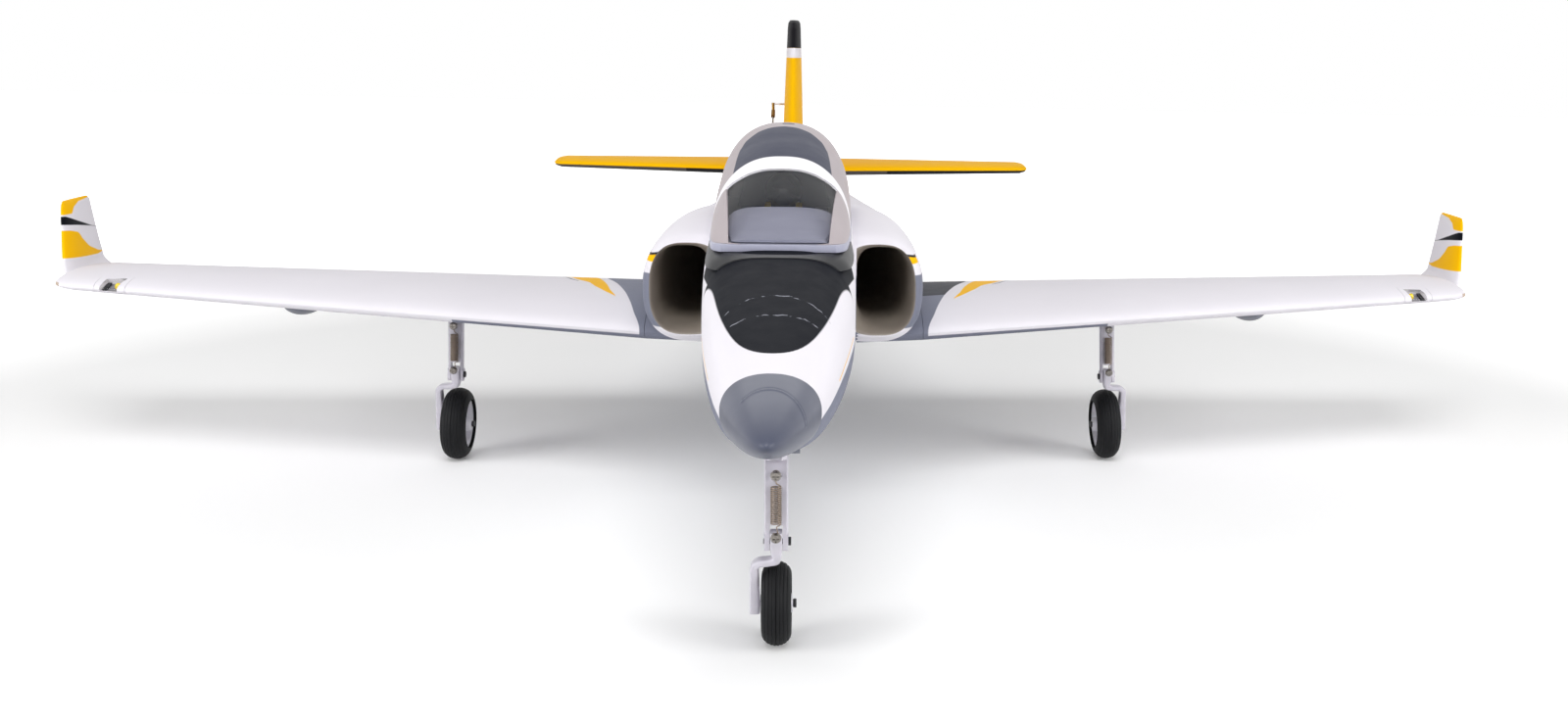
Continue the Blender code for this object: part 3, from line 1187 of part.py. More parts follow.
def arm(name, leg, link, axle, tip_side, tyre_width, radius):
    """The trailing arm: from the fork it jogs over the tyre and runs down beside it to the axle."""
    drop = axle - link
    offset = tip_side * (tyre_width / 2 + SIDE_GAP + ARM_FOOT_WIDTH / 2)
    shoulder = radius - drop + SHOULDER_GAP + SHOULDER_THICKNESS / 2
    top = LINK_SCREW_RISE + SCREW_SHANK_RADIUS
    path = [
        (0.0, -2.4, top, 0, ARM_WIDTH), (0.0, 0.0, -3.0, 0, ARM_WIDTH), (0.0, 1.0, shoulder + 2.2, 40, 5.0),
        (offset * 0.35, 2.0, shoulder + 0.3, 80, SHOULDER_THICKNESS),
        (offset * 0.72, 2.8, shoulder - 0.3, 70, SHOULDER_THICKNESS),
        (offset, 3.8, shoulder - 4.0, 20, 4.8), (offset, TRAIL, -drop, 0, ARM_FOOT_WIDTH),
        (offset, TRAIL + 1.0, -drop - 5.0, 0, ARM_FOOT_WIDTH)]
    rings = []
    for x, y, z, lean, wide in path:
        tilt = math.radians(lean) * tip_side
        across = Vector((math.cos(tilt), 0.0, math.sin(tilt)))
        half_w = wide / 2
        half_d = ARM_DEPTH / 2
        trim = 1.2
        ring = []
        for a, b in ((-half_w + trim, -half_d), (half_w - trim, -half_d), (half_w, -half_d + trim),
                     (half_w, half_d - trim), (half_w - trim, half_d), (-half_w + trim, half_d),
                     (-half_w, half_d - trim), (-half_w, -half_d + trim)):
            ring.append(local(x + across.x * a, y + b, z + across.z * a))
        rings.append(ring)
    pivot = add_empty(name + "_pivot", local(0, 0, -link), leg)
    bar = add_mesh(name, loft(rings), GREY_ALLOY, pivot)
    hole = rod(local(-20, 0, 0), local(20, 0, 0), PIN_RADIUS + GAP, 8)
    cut(bar, add_mesh(name + "_hole", hole, None, pivot))
    front = -2.4 - ARM_DEPTH / 2
    shank = rod(
        local(0, front + 2, LINK_SCREW_RISE), local(0, -STRUT_FLAT - 7.5, LINK_SCREW_RISE), SCREW_SHANK_RADIUS, 8)
    head_front = -STRUT_FLAT - 6.5
    cap = rod(local(0, head_front, LINK_SCREW_RISE), local(0, head_front - SCREW_HEAD_HEIGHT, LINK_SCREW_RISE),
              SCREW_HEAD_RADIUS, 10)
    far = -tip_side * (tyre_width / 2 + 1.2)
    spindle = rod(local(offset, TRAIL, -drop), local(far - tip_side * 1.0, TRAIL, -drop), AXLE_RADIUS, 10)
    nut = rod(local(far, TRAIL, -drop), local(far - tip_side * 2.0, TRAIL, -drop), 3.0, 10)
    join(bar, add_mesh(name + "_shank", shank, None, pivot), add_mesh(name + "_cap", cap, None, pivot),
         add_mesh(name + "_spindle", spindle, None, pivot), add_mesh(name + "_nut", nut, None, pivot))
    return pivot


def wheel(name, pivot, link, axle, radius, width):
    """A moulded hub on the arm's spindle and the ribbed tyre on it."""
    spot = add_empty(name + "_axle", local(0, TRAIL, link - axle), pivot)

    def place(a, b, along):
        return local(along, a, b)

    # Each facet's middle, not its corners, stands at the wheel's true radius, with a facet on the floor.
    radius = radius / math.cos(math.pi / WHEEL_POINTS)
    rim = radius - RIM_DEPTH
    half = width / 2
    bore = AXLE_RADIUS + GAP
    hub_profile = [
        (bore, -half - 0.6), (5.0, -half - 0.6), (5.4, -2.0), (rim - 2.2, -2.0), (rim - 1.6, -half + 2.2),
        (rim, -half + 2.2), (rim, half - 2.2), (rim - 1.6, half - 2.2), (rim - 2.2, 2.0), (5.4, 2.0),
        (5.0, half + 0.6), (bore, half + 0.6)]
    add_mesh(name + "_hub", turned(hub_profile, WHEEL_POINTS, place, 0.0), HUB_PLASTIC, spot)
    inner = rim + GAP
    crown = radius - half * 0.62
    profile = [(inner, -half + 2.4), (inner, half - 2.4), (inner + 1.4, half - 0.9)]
    for i in range(9):
        angle = math.pi * i / 8
        groove = 0.5 if i in (3, 5) else 0.0
        profile.append((crown + (half * 0.62 - groove) * math.sin(angle), half * math.cos(angle)))
    profile.append((inner + 1.4, -half + 0.9))
    add_mesh(name + "_tyre", turned(profile, WHEEL_POINTS, place, 0.0), RUBBER, spot)


def spring(name, leg, top, bottom):
    """A tension spring between its two screws: one wire, straight at both ends."""
    y = -STRUT_FLAT - SPRING_RADIUS - SPRING_WIRE / 2 - GAP
    end_gap = SCREW_SHANK_RADIUS + GAP
    high = -top - end_gap
    low = -bottom + end_gap
    lead = 2.8
    turns = round((high - low - 2 * lead) / SPRING_PITCH)
    rise = (high - low - 2 * lead) / turns
    path = [(0.0, y, low), (0.0, y, low + SPRING_WIRE)]
    count = turns * SPRING_POINTS
    for i in range(-3, count + 4):
        angle = 2 * math.pi * i / SPRING_POINTS
        inside = min(1.0, max(0.0, (i + 4) / 4), max(0.0, (count + 4 - i) / 4))
        z = low + lead + rise * i / SPRING_POINTS
        if i < 0:
            z += 0.28 * i
        if i > count:
            z += 0.28 * (i - count)
        reach = SPRING_RADIUS * inside
        path.append((reach * math.cos(angle), y + reach * math.sin(angle), z))
    path += [(0.0, y, high - SPRING_WIRE), (0.0, y, high)]
    curve = bpy.data.curves.new(name, "CURVE")
    curve.dimensions = "3D"
    curve.bevel_depth = SPRING_WIRE / 2 * MM
    curve.bevel_resolution = 1
    curve.use_fill_caps = True
    spline = curve.splines.new("POLY")
    spline.points.add(len(path) - 1)
    for knot, place in zip(spline.points, path):
        knot.co = (*local(*place), 1.0)
    add_object(name, curve, STEEL, leg)
    print(name, "least gap between its curls:", round(least_gap(path), 3), "mm")


def least_gap(path):
    """The least clear distance between stretches of a wire that are at least half a curl apart."""
    knots = np.array(path)
    shares = np.linspace(0, 1, 5)[:-1]
    fine = np.concatenate([knots[i] + (knots[i + 1] - knots[i]) * shares[:, None] for i in range(len(knots) - 1)])
    apart = SPRING_POINTS * 2
    least = math.inf
    for i in range(0, len(fine) - apart):
        least = min(least, np.min(np.linalg.norm(fine[i + apart:] - fine[i], axis=1)))
    return least - SPRING_WIRE


def main_gear(side):
    name = side_name(side)
    x, s, z = MAIN_PIVOT
    leg = add_empty(name + "_leg", point(side * x, s, z), None, (0.0, -side * MAIN_SPLAY, 0.0))
    stretch = (z - MAIN_WHEEL_RADIUS) / math.cos(MAIN_SPLAY)
    link = z - MAIN_LINK_Z
    spring_top = z - MAIN_SPRING_TOP_Z
    tube = strut(name + "_strut", leg, link, spring_top, -side, MAIN_STRUT_RADIUS)
    trunnion = rod(
        local(0, -TRUNNION_HALF_LENGTH, 0), local(0, TRUNNION_HALF_LENGTH, 0), TRUNNION_RADIUS, 14)
    reach = TRUNNION_HALF_LENGTH + CHEEK_THICKNESS
    pin = rod(local(0, -reach, 0), local(0, reach, 0), PIN_RADIUS, 12)
    join(tube, add_mesh(name + "_trunnion", trunnion, None, leg))
    join(tube, add_mesh(name + "_trunnion_pin", pin, None, leg))
    pivot = arm(name + "_arm", leg, link, stretch, side, MAIN_TYRE_WIDTH, MAIN_WHEEL_RADIUS)
    wheel(name + "_wheel", pivot, link, stretch, MAIN_WHEEL_RADIUS, MAIN_TYRE_WIDTH)
    spring(name + "_spring", leg, spring_top, link - LINK_SCREW_RISE)
    main_retract_unit(side)


def nose_gear():
    x, s, z = NOSE_PIVOT
    leg = add_empty("nose_leg", point(x, s, z))
    link = z - NOSE_LINK_Z
    stretch = z - NOSE_WHEEL_RADIUS
    spring_top = z - NOSE_SPRING_TOP_Z
    trunnion = rod(
        local(-TRUNNION_HALF_LENGTH, 0, 0), local(TRUNNION_HALF_LENGTH, 0, 0), TRUNNION_RADIUS + 1.2, 14)
    block = add_mesh("nose_trunnion", trunnion, GREY_ALLOY, leg)
    reach = TRUNNION_HALF_LENGTH + CHEEK_THICKNESS
    pin = rod(local(-reach, 0, 0), local(reach, 0, 0), PIN_RADIUS, 12)
    join(block, add_mesh("nose_trunnion_pin", pin, None, leg))
    king_radius = 4.0
    bore = rod(local(0, 0, -20), local(0, 0, 20), king_radius + GAP, 16)
    below = box((-20, -20, -20), (20, 20, -TRUNNION_RADIUS), local)
    cut(block, add_mesh("king_bore", bore, None, leg), add_mesh("trunnion_flat", below, None, leg))
    tube = strut("nose_strut", leg, link, spring_top, 1, NOSE_STRUT_RADIUS)
    shoulder = box((-20, -20, -TRUNNION_RADIUS - GAP), (20, 20, 20), local)
    cut(tube, add_mesh("nose_strut_top", shoulder, None, leg))
    king = rod(local(0, 0, -TRUNNION_RADIUS - 3), local(0, 0, TRUNNION_RADIUS + 2), king_radius, 16)
    join(tube, add_mesh("king_post", king, None, leg))
    pivot = arm("nose_arm", leg, link, stretch, -1, NOSE_TYRE_WIDTH, NOSE_WHEEL_RADIUS)
    wheel("nose_wheel", pivot, link, stretch, NOSE_WHEEL_RADIUS, NOSE_TYRE_WIDTH)
    spring("nose_spring", leg, spring_top, link - LINK_SCREW_RISE)
    nose_retract_unit()


def main():
    clear_scene()
    spar_hole = spar_cutter()
    half = SPAR_HALF_LENGTH
    add_mesh("wing_spar", rod(point(-half, SPAR_S, SPAR_Z), point(half, SPAR_S, SPAR_Z), SPAR_RADIUS, 16), CARBON)
    nose_cone()
    front, rear = fuselage(spar_hole)
    for side in (1, -1):
        intake_duct(side)
        wing(side, spar_hole)
        stabiliser(side, rear)
        main_gear(side)
    fin_and_rudder(rear)
    hatch("hatch_lift")
    fan_unit()
    electrics()
    nose_gear()


main()
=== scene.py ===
"""The looks of a foam ducted-fan jet for radio control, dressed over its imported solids.

Sizes are in millimetres and point() turns them into metres. X runs to the aircraft's left wing tip,
s runs aft from the nose tip and Z up from the floor, as in the part's own source.
"""
import math
from collections import namedtuple

import bmesh
import bpy
import numpy as np
from mathutils import Matrix, Vector


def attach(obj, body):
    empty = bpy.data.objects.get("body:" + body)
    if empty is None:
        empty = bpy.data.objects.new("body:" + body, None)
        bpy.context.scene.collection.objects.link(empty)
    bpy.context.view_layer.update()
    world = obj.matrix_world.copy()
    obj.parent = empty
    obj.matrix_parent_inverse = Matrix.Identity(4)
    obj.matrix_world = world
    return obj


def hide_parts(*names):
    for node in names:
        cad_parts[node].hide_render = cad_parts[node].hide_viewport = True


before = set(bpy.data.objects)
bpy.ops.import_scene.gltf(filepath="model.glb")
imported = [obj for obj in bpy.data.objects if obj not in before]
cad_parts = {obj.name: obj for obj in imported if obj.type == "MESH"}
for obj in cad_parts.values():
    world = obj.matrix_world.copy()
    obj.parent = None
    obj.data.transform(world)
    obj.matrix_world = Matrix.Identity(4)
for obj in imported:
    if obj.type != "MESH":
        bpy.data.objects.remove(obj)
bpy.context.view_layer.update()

MM = 0.001
GAP = 0.3
WELD = 0.02 * MM
REACH = 400.0
SHARP_ANGLE = math.radians(35)
SIDES = (("left", 1), ("right", -1))

# Overall sizes
LENGTH = 1140.0
SPAN = 1108.0

# Fuselage
CONE_LENGTH = 70.0
CONE_TIP_Z = 158.0
CONE_POWER = 0.55
TAIL_SEAM = 700.0
BODY_END = 1112.0
BODY_COUNT = 96
NACELLE_COUNT = 84

# Hatch, canopy and cockpit
HATCH_FRONT = 241.0
HATCH_REAR = 520.0
DECK_Z = 204.0
HATCH_BASE_HEIGHT = 4.0
CANOPY_FOOT_Z = DECK_Z + HATCH_BASE_HEIGHT + 2 * GAP
CANOPY_WALL = 1.2
TUB_FRONT = 292.0
TUB_REAR = 445.0
TUB_HALF_WIDTH = 22.0
TUB_FLOOR_Z = 194.5
TUB_WALL = 1.4
COAMING_TOP_Z = 220.5
PILOT_S = 398.0
HELMET_STRETCH = (1.0, 1.12, 1.0)
PILOT_FLOOR_Z = TUB_FLOOR_Z + TUB_WALL + GAP
PILOT_SHOULDER_Z = PILOT_FLOOR_Z + 15
PILOT_KNOTS = (PILOT_FLOOR_Z, PILOT_FLOOR_Z + 6, PILOT_FLOOR_Z + 11, PILOT_FLOOR_Z + 13.5, PILOT_SHOULDER_Z)
PILOT_HALF_WIDTHS = (12.0, 15.0, 16.5, 11.0, 6.5)
PILOT_HALF_DEPTHS = (8.0, 9.0, 8.5, 6.5, 5.0)
HELMET_RADIUS = 12.3
BAY_FRONT = 255.0
BAY_REAR = 500.0
BAY_HALF_WIDTH = 25.0
BAY_FLOOR_Z = 156.5

# Ducted fan
FAN_Z = 166.0
FAN_FRONT = 612.0
FAN_LENGTH = 52.0
FAN_SEAT_RADIUS = 38.2
PLENUM_FRONT = 560.0
PLENUM_RADIUS = 27.0
TUBE_FRONT_RADIUS = 37.5
TUBE_REAR_RADIUS = 33.5
TUBE_WALL = 0.8
MOUTH_S = 390.0
DUCT_END = 580.0
DUCT_WALL = 1.0
LIP_FRONT = 389.0
LIP_OUTER_END = 396.0
LIP_INNER_END = 420.0
LIP_CREST = 0.42

# Wing
WING_ROOT_X = 96.0
WING_ROOT_LEAD = 452.0
WING_ROOT_TRAIL = 685.0
WING_ROOT_Z = 121.0
WING_ROOT_THICKNESS = 25.0
WING_TIP_X = SPAN / 2 - 38.0
WING_TIP_LEAD = 545.0
WING_TIP_TRAIL = 664.0
WING_TIP_Z = 134.6
WING_TIP_THICKNESS = 12.5
WING_CAMBER = 0.015
EDGE_THICKNESS = 1.4
FOIL_STEPS = 30
WINGLET_TOP_Z = 189.0
WINGLET_LEAN = 8.0
WINGLET_TOE = 0.1
WING_HINGE_S = 632.0
HINGE_GAP = 0.6
FLAP_INNER_X = 104.0
FLAP_OUTER_X = 318.0
FLAP_SLANT = math.radians(44.0)
AILERON_INNER_X = 330.0
AILERON_OUTER_X = 500.0
AILERON_SLANT = math.radians(30.0)
SURFACE_END_GAP = 1.5
AILERON_HORN_X = 364.0
HORN_THICKNESS = 2.0
HORN_DROP = 13.0
ROD_RADIUS = 1.0
FAIRING_S = 590.0
FAIRING_HALF_LENGTH = 36.0
FAIRING_HALF_WIDTH = 15.5
FAIRING_LOW_Z = 109.0
LIGHT_INNER_X = 474.0
LIGHT_OUTER_X = 498.0
LIGHT_DEPTH = 17.0
LENS_FRONT_XS = (481.0, 495.0)
LENS_REAR_XS = (492.0, 478.0)
REFLECTOR_XS = (479.6, 489.0)
# Where the black block sits that stands in for the shade at the light bay's outboard side
BAY_SHADE_XS = (489.2, 492.6)
DIODE_X = 482.6
DIODE_RADIUS = 2.3
DIODE_STRETCH = (1.0, 1.0, 1.35)

# Tail
STAB_ROOT_X = 38.0
STAB_HALF_SPAN = 244.0
STAB_ROOT_LEAD = 944.0
STAB_ROOT_TRAIL = 1093.0
STAB_TIP_LEAD = 985.0
STAB_TIP_TRAIL = 1083.0
STAB_Z = 196.0
STAB_ROOT_THICKNESS = 15.0
STAB_TIP_THICKNESS = 10.0
ELEVATOR_HINGE_S = 1048.0
ELEVATOR_INNER_X = 62.0
ELEVATOR_OUTER_X = 228.0
FIN_ROOT_Z = 206.0
FIN_TOP_Z = 343.5
FIN_ROOT_LEAD = 845.0
FIN_TIP_LEAD = 1006.0
FIN_ROOT_TRAIL = 1127.0
FIN_ROOT_THICKNESS = 21.0
FIN_TIP_THICKNESS = 13.0
RUDDER_LOW_Z = 214.0
RUDDER_HINGE_LOW_S = 1066.0
RUDDER_HINGE_TOP_S = 1086.0
RUDDER_HORN_Z = 256.0
RUDDER_HORN_REACH = 22.7
LINK_STUD_RADIUS = 1.6
LINK_GAP = 0.5
TAIL_V_SLANT = math.radians(33.0)
PUSHROD_DROP = math.radians(26.0)
PUSHROD_LENGTH = 112.0

# Landing gear
MAIN_PIVOT = (247.0, 562.0, 121.0)
NOSE_PIVOT = (0.0, 181.0, 115.0)
MAIN_WHEEL_RADIUS = 27.3
NOSE_WHEEL_RADIUS = 22.5
MAIN_TYRE_WIDTH = 19.0
NOSE_TYRE_WIDTH = 16.0
MAIN_SPLAY = math.radians(2.5)
TRAIL = 8.0
NOSE_STRUT_RADIUS = 6.3
MAIN_STRUT_RADIUS = 5.7
STRUT_FLAT = 3.2
MAIN_LINK_Z = 67.5
NOSE_LINK_Z = 59.8
LINK_SCREW_RISE = 4.7
MAIN_SPRING_TOP_Z = 106.0
NOSE_SPRING_TOP_Z = 98.0
SCREW_SHANK_RADIUS = 1.4
SCREW_HEAD_RADIUS = 2.9
SCREW_HEAD_HEIGHT = 2.0
SCREW_REACH = 6.5
PIN_RADIUS = 1.5
ARM_WIDTH = 6.4
ARM_DEPTH = 9.0
ARM_FOOT_WIDTH = 5.5
SHOULDER_THICKNESS = 4.0
SHOULDER_GAP = 0.8
SIDE_GAP = 0.9
FOOT_RADIUS = 5.0
AXLE_RADIUS = 1.75
TRUNNION_RADIUS = 5.6
TRUNNION_HALF_LENGTH = 8.5
CHEEK_THICKNESS = 3.6
KING_RADIUS = 4.0
RIM_DEPTH = 9.0
HUB_HOLES = 6
SPRING_WIRE = 0.72
SPRING_RADIUS = 2.6
SPRING_PITCH = 1.0
SPRING_STEPS = 18
SPRING_LEAD = 6.6

Station = namedtuple("Station", "s centre half_width top bottom middle top_power bottom_power")

CORE = [
    Station(CONE_LENGTH, 0, 22.5, 173.4, 137.5, 156.0, 2.2, 2.2),
    Station(100, 0, 27.2, 178.8, 129.0, 154.5, 2.5, 2.2),
    Station(140, 0, 32.4, 186.2, 121.5, 154.0, 3.1, 2.2),
    Station(190, 0, 37.8, 195.5, 115.5, 155.0, 3.3, 2.3),
    Station(HATCH_FRONT, 0, 42.0, 205.4, 112.0, 158.0, 3.6, 2.4),
    Station(264, 0, 43.0, 213.0, 112.0, 158.5, 4.3, 2.45),
    Station(300, 0, 44.0, 226.0, 112.0, 159.5, 3.7, 2.5),
    Station(350, 0, 45.2, 239.0, 112.0, 161.0, 3.0, 2.7),
    Station(MOUTH_S, 0, 46.0, 247.0, 112.0, 162.0, 2.8, 2.8),
    Station(450, 0, 47.0, 255.0, 112.0, 163.0, 2.6, 2.9),
    Station(HATCH_REAR, 0, 48.0, 250.0, 112.0, 164.0, 2.5, 3.0),
    Station(600, 0, 48.6, 241.0, 112.8, 164.5, 2.5, 3.0),
    Station(TAIL_SEAM, 0, 49.0, 227.0, 114.0, 165.0, 2.5, 3.0),
    Station(850, 0, 47.5, 213.5, 119.0, FAN_Z, 2.5, 2.6),
    Station(1000, 0, 44.5, 209.5, 123.5, FAN_Z, 2.4, 2.3),
    Station(BODY_END, 0, 40.5, 206.5, 125.5, FAN_Z, 2.0, 2.0),
]
SEAT = [
    Station(228, 0, 40.9, 203.0, 112.0, 157.0, 3.6, 2.4),
    Station(HATCH_FRONT, 0, 42.0, 205.4, 112.0, 158.0, 5.4, 2.4),
    Station(264, 0, 43.0, 213.0, 112.0, 158.5, 4.8, 2.45),
    Station(300, 0, 44.0, 226.0, 112.0, 159.5, 3.7, 2.5),
]
SPINE = [
    Station(HATCH_REAR, 0, 43.0, 257.0, 190.0, 208.0, 2.35, 2.0),
    Station(600, 0, 40.0, 247.5, 190.0, 207.0, 2.25, 2.0),
    Station(TAIL_SEAM, 0, 34.0, 235.0, 190.0, 206.0, 2.15, 2.0),
    Station(850, 0, 23.0, 219.5, 188.0, 204.0, 2.05, 2.0),
    Station(1000, 0, 12.0, 208.0, 184.0, 198.0, 2.0, 2.0),
]
NACELLE = [
    Station(MOUTH_S, 57.5, 31.0, 193.5, 128.0, 159.0, 2.5, 2.6),
    Station(396, 57.0, 33.2, 196.5, 125.6, 159.0, 2.4, 2.6),
    Station(412, 55.5, 36.6, 200.5, 123.2, 159.5, 2.15, 2.6),
    Station(450, 52.5, 41.5, 203.7, 120.5, 160.5, 1.9, 2.7),
    Station(500, 52.0, 43.0, 202.2, 118.0, 161.5, 1.85, 2.8),
    Station(600, 51.0, 43.0, 195.0, 116.5, 163.0, 1.85, 2.9),
    Station(TAIL_SEAM, 47.0, 42.0, 186.5, 117.0, 164.0, 1.85, 2.8),
    Station(850, 36.0, 36.0, 182.0, 123.0, 165.0, 1.9, 2.5),
    Station(1000, 22.0, 28.5, 180.0, 131.0, FAN_Z, 2.0, 2.3),
    Station(1070, 14.0, 26.0, 178.0, 138.0, FAN_Z, 2.0, 2.2),
]
DUCT = [
    Station(MOUTH_S, 64.8, 18.0, 188.0, 134.5, 161.0, 3.2, 3.2),
    Station(420, 64.4, 18.0, 189.0, 135.0, 162.0, 3.0, 3.0),
    Station(480, 56.0, 20.0, 191.0, 139.0, 165.0, 2.6, 2.6),
    Station(540, 42.0, 20.0, 193.0, 140.5, FAN_Z, 2.3, 2.3),
    Station(DUCT_END, 27.0, 17.0, 192.0, 141.0, FAN_Z, 2.2, 2.2),
]
CANOPY = [
    Station(HATCH_FRONT, 0, 31.0, 208.2, DECK_Z, DECK_Z, 3.0, 2.0),
    Station(246, 0, 35.2, 211.0, DECK_Z, DECK_Z, 3.0, 2.0),
    Station(253, 0, 37.2, 214.5, DECK_Z, DECK_Z, 2.9, 2.0),
    Station(264, 0, 38.4, 219.0, DECK_Z, DECK_Z, 2.8, 2.0),
    Station(300, 0, 40.4, 230.5, DECK_Z, DECK_Z, 2.7, 2.0),
    Station(350, 0, 42.2, 243.2, DECK_Z, DECK_Z, 2.5, 2.0),
    Station(400, 0, 43.6, 256.0, DECK_Z, DECK_Z, 2.4, 2.0),
    Station(450, 0, 44.2, 264.8, DECK_Z, DECK_Z, 2.35, 2.0),
    Station(490, 0, 43.8, 262.8, DECK_Z, DECK_Z, 2.35, 2.0),
    Station(HATCH_REAR, 0, 43.0, 257.0, DECK_Z, DECK_Z, 2.35, 2.0),
]

# Where each paint ends
PANEL_TIP_S = 93.5
PANEL_STRAIGHT = 95.0
PANEL_EASE = 50.0
PANEL_REAR_S = 229.0
PANEL_LOW_Z = 177.0
STRIP_LOW_Z = 188.0
FAR_INSIDE = 10.0
NOSE_LINE_HALF = 0.45
NOSE_LINE_FRONT_S = 132.0
NOSE_LINE_REAR_S = 225.0
NOSE_LINE_INNER_X = 20.0
LIP_PAINT_FRONT_S = 380.0
LIP_PATCH_LOW_Z = 178.3
LIP_PATCH_TOP_Z = 183.3
LIP_PATCH_INNER_X = 76.0
LIP_PATCH_REAR_S = 401.0
LIP_RIM_Z = 183.9
LIP_RIM_HALF = 0.7
LIP_RIM_INNER_X = 72.0
LIP_RIM_REAR_S = 402.0
STRIPE_OFFSET = 4.0
STRIPE_HALF = 0.6
STRIPE_FRONT_S = 585.0
TIP_RUB_TOP_Z = 136.5
TIP_RUB_REAR_S = 640.0
STAB_BLACK_LEFT_X = 95.0
STAB_BLACK_RIGHT_X = 107.0
WINGLET_INNER_X = 522.0
STAB_UNDER_Z = STAB_Z - 0.8
FIN_WHITE_LOW_Z = 305.8
FIN_WHITE_TOP_Z = 315.4
SCUFF_ARCS = ((170.6, 0.027), (143.0, 0.018))

# Paint edges, each drawn as (along, across) knots
BELLY_EDGE = [(60, 152.5), (100, 153), (141, 154), (204, 155), (300, 157), (380, 160), (420, 168),
              (520, 160)]
NOSE_LINE = [(130, 156.6), (140, 157.1), (162, 158.5), (202, 159.9), (221, 160.6)]
ROOT_EDGE = [(440, 97), (455, 100), (471, 105), (494, 110), (525, 117), (575, 129.5), (617, 141),
             (660, 148), (690, 152)]
SWOOSH_INNER = [(500, 122), (510, 122), (535, 129.5), (562, 135), (620, 148), (665, 158), (690, 163)]
SWOOSH_OUTER = [(500, 119), (510, 122), (528, 132.2), (552, 143), (575, 150), (600, 163), (630, 172),
                (660, 182), (690, 192)]
WINGLET_CAP = [(590, 179.5), (620, 179.5), (625, 183.8), (638, 187), (670, 188)]
WINGLET_WEDGE_TOP = [(600, 178.6), (608, 178.4), (625, 173.6), (654, 166.8), (670, 164)]
WINGLET_WEDGE_LOW = [(600, 172.8), (622, 170.5), (654, 166.4), (670, 164)]
WINGLET_BAND_TOP = [(585, 169), (601, 168.4), (608, 167.8), (621, 165.3), (625, 160.2), (635, 153),
                    (654, 147.5), (663, 146)]
WINGLET_BAND_LOW = [(585, 149.2), (619, 146.8), (652, 144.7), (661, 145)]
ARCH_FRONT = [(204, 315), (208, 318), (214, 323), (227, 338), (237, 341), (241.5, 345), (250, 349)]
ARCH_REAR = [(204, 327), (208, 331), (214, 336), (227, 351), (237, 359), (247, 367), (255, 372)]
DOME_END = [(0, 433), (9, 431), (17, 427), (25, 418), (28.5, 403), (30, 372), (31, 340)]


# Shaping

def point(x, s, z):
    """Turn a place in millimetres, s measured aft from the nose, into metres."""
    return Vector((x * MM, (s - LENGTH / 2) * MM, z * MM))


def local(x, y, z):
    """Turn a place in a leg's own frame from millimetres into metres."""
    return Vector((x * MM, y * MM, z * MM))


def spread(start, end, step):
    """Evenly spaced marks from start to end, about a step apart."""
    return list(np.linspace(start, end, max(2, round(abs(end - start) / step) + 1)))


def curve_value(places, values, place):
    """A smooth curve through given values that never overshoots them."""
    if place <= places[0]:
        return values[0]
    if place >= places[-1]:
        return values[-1]
    steps = np.diff(places)
    slopes = np.diff(values) / steps
    tangents = [slopes[0]]
    for before, after in zip(slopes, slopes[1:]):
        tangents.append(0.0 if before * after <= 0 else 2 * before * after / (before + after))
    tangents.append(slopes[-1])
    i = int(np.searchsorted(places, place, side="right")) - 1
    t = (place - places[i]) / steps[i]
    ease = t * t * (3 - 2 * t)
    start_pull = t * (1 - t) ** 2 * steps[i] * tangents[i]
    end_pull = t * t * (t - 1) * steps[i] * tangents[i + 1]
    return values[i] * (1 - ease) + values[i + 1] * ease + start_pull + end_pull


def straight_value(places, values, place):
    """The value at a place on straight runs between given ones."""
    return float(np.interp(place, places, values))


def drawn(edge, along):
    """Where a drawn edge runs at a given place along it."""
    places, values = zip(*edge)
    return straight_value(places, values, along)


def beyond(edge, along, across):
    """How far a place lies beyond a drawn edge, in millimetres."""
    slope = (drawn(edge, along + 1) - drawn(edge, along - 1)) / 2
    return (across - drawn(edge, along)) / math.hypot(1.0, slope)


def station_at(stations, s):
    """The smoothly blended station at s."""
    places = [station.s for station in stations]
    columns = list(zip(*stations))
    return Station(s, *(curve_value(places, column, s) for column in columns[1:]))


def outline(station, count, grow=0.0):
    """Evenly spaced (x, z) round a rounded box with its own roundness above and below."""
    angle = np.linspace(0, 2 * np.pi, 1441)
    across = np.cos(angle)
    up = np.sin(angle)
    power = np.where(up >= 0, station.top_power, station.bottom_power)
    rise = np.where(up >= 0, station.top - station.middle, station.middle - station.bottom) + grow
    x = (station.half_width + grow) * np.sign(across) * np.abs(across) ** (2 / power)
    z = rise * np.sign(up) * np.abs(up) ** (2 / power)
    length = np.concatenate([[0], np.cumsum(np.hypot(np.diff(x), np.diff(z)))])
    even = np.linspace(0, length[-1], count + 1)
    return station.centre + np.interp(even, length, x), station.middle + np.interp(even, length, z)


def skin(shape, around, rows, closed=True):
    """A grid wrapped into a form: shape(turn, row) puts each of its points."""
    bm = bmesh.new()
    count = len(rows) - 1
    bmesh.ops.create_grid(bm, x_segments=around, y_segments=count, size=1.0)
    for vert in bm.verts:
        row = rows[round((vert.co.y + 1) / 2 * count)]
        vert.co = shape((vert.co.x + 1) / 2, row)
    bmesh.ops.remove_doubles(bm, verts=bm.verts[:], dist=WELD)
    if closed:
        bmesh.ops.holes_fill(bm, edges=bm.edges[:], sides=0)
    bmesh.ops.recalc_face_normals(bm, faces=bm.faces[:])
    return bm


def ring_skin(rings, side=1, closed=True):
    """A form through rings, each (s, xs, zs), whose last point meets its first."""
    count = len(rings[0][1]) - 1

    def shape(turn, ring):
        s, xs, zs = ring
        i = round(turn * count)
        return point(side * xs[i], s, zs[i])

    return skin(shape, count, rings, closed)


def body_skin(stations, marks, count, side=1, grow=0.0, closed=True):
    rings = [(s, *outline(station_at(stations, s), count, grow)) for s in marks]
    return ring_skin(rings, side, closed)


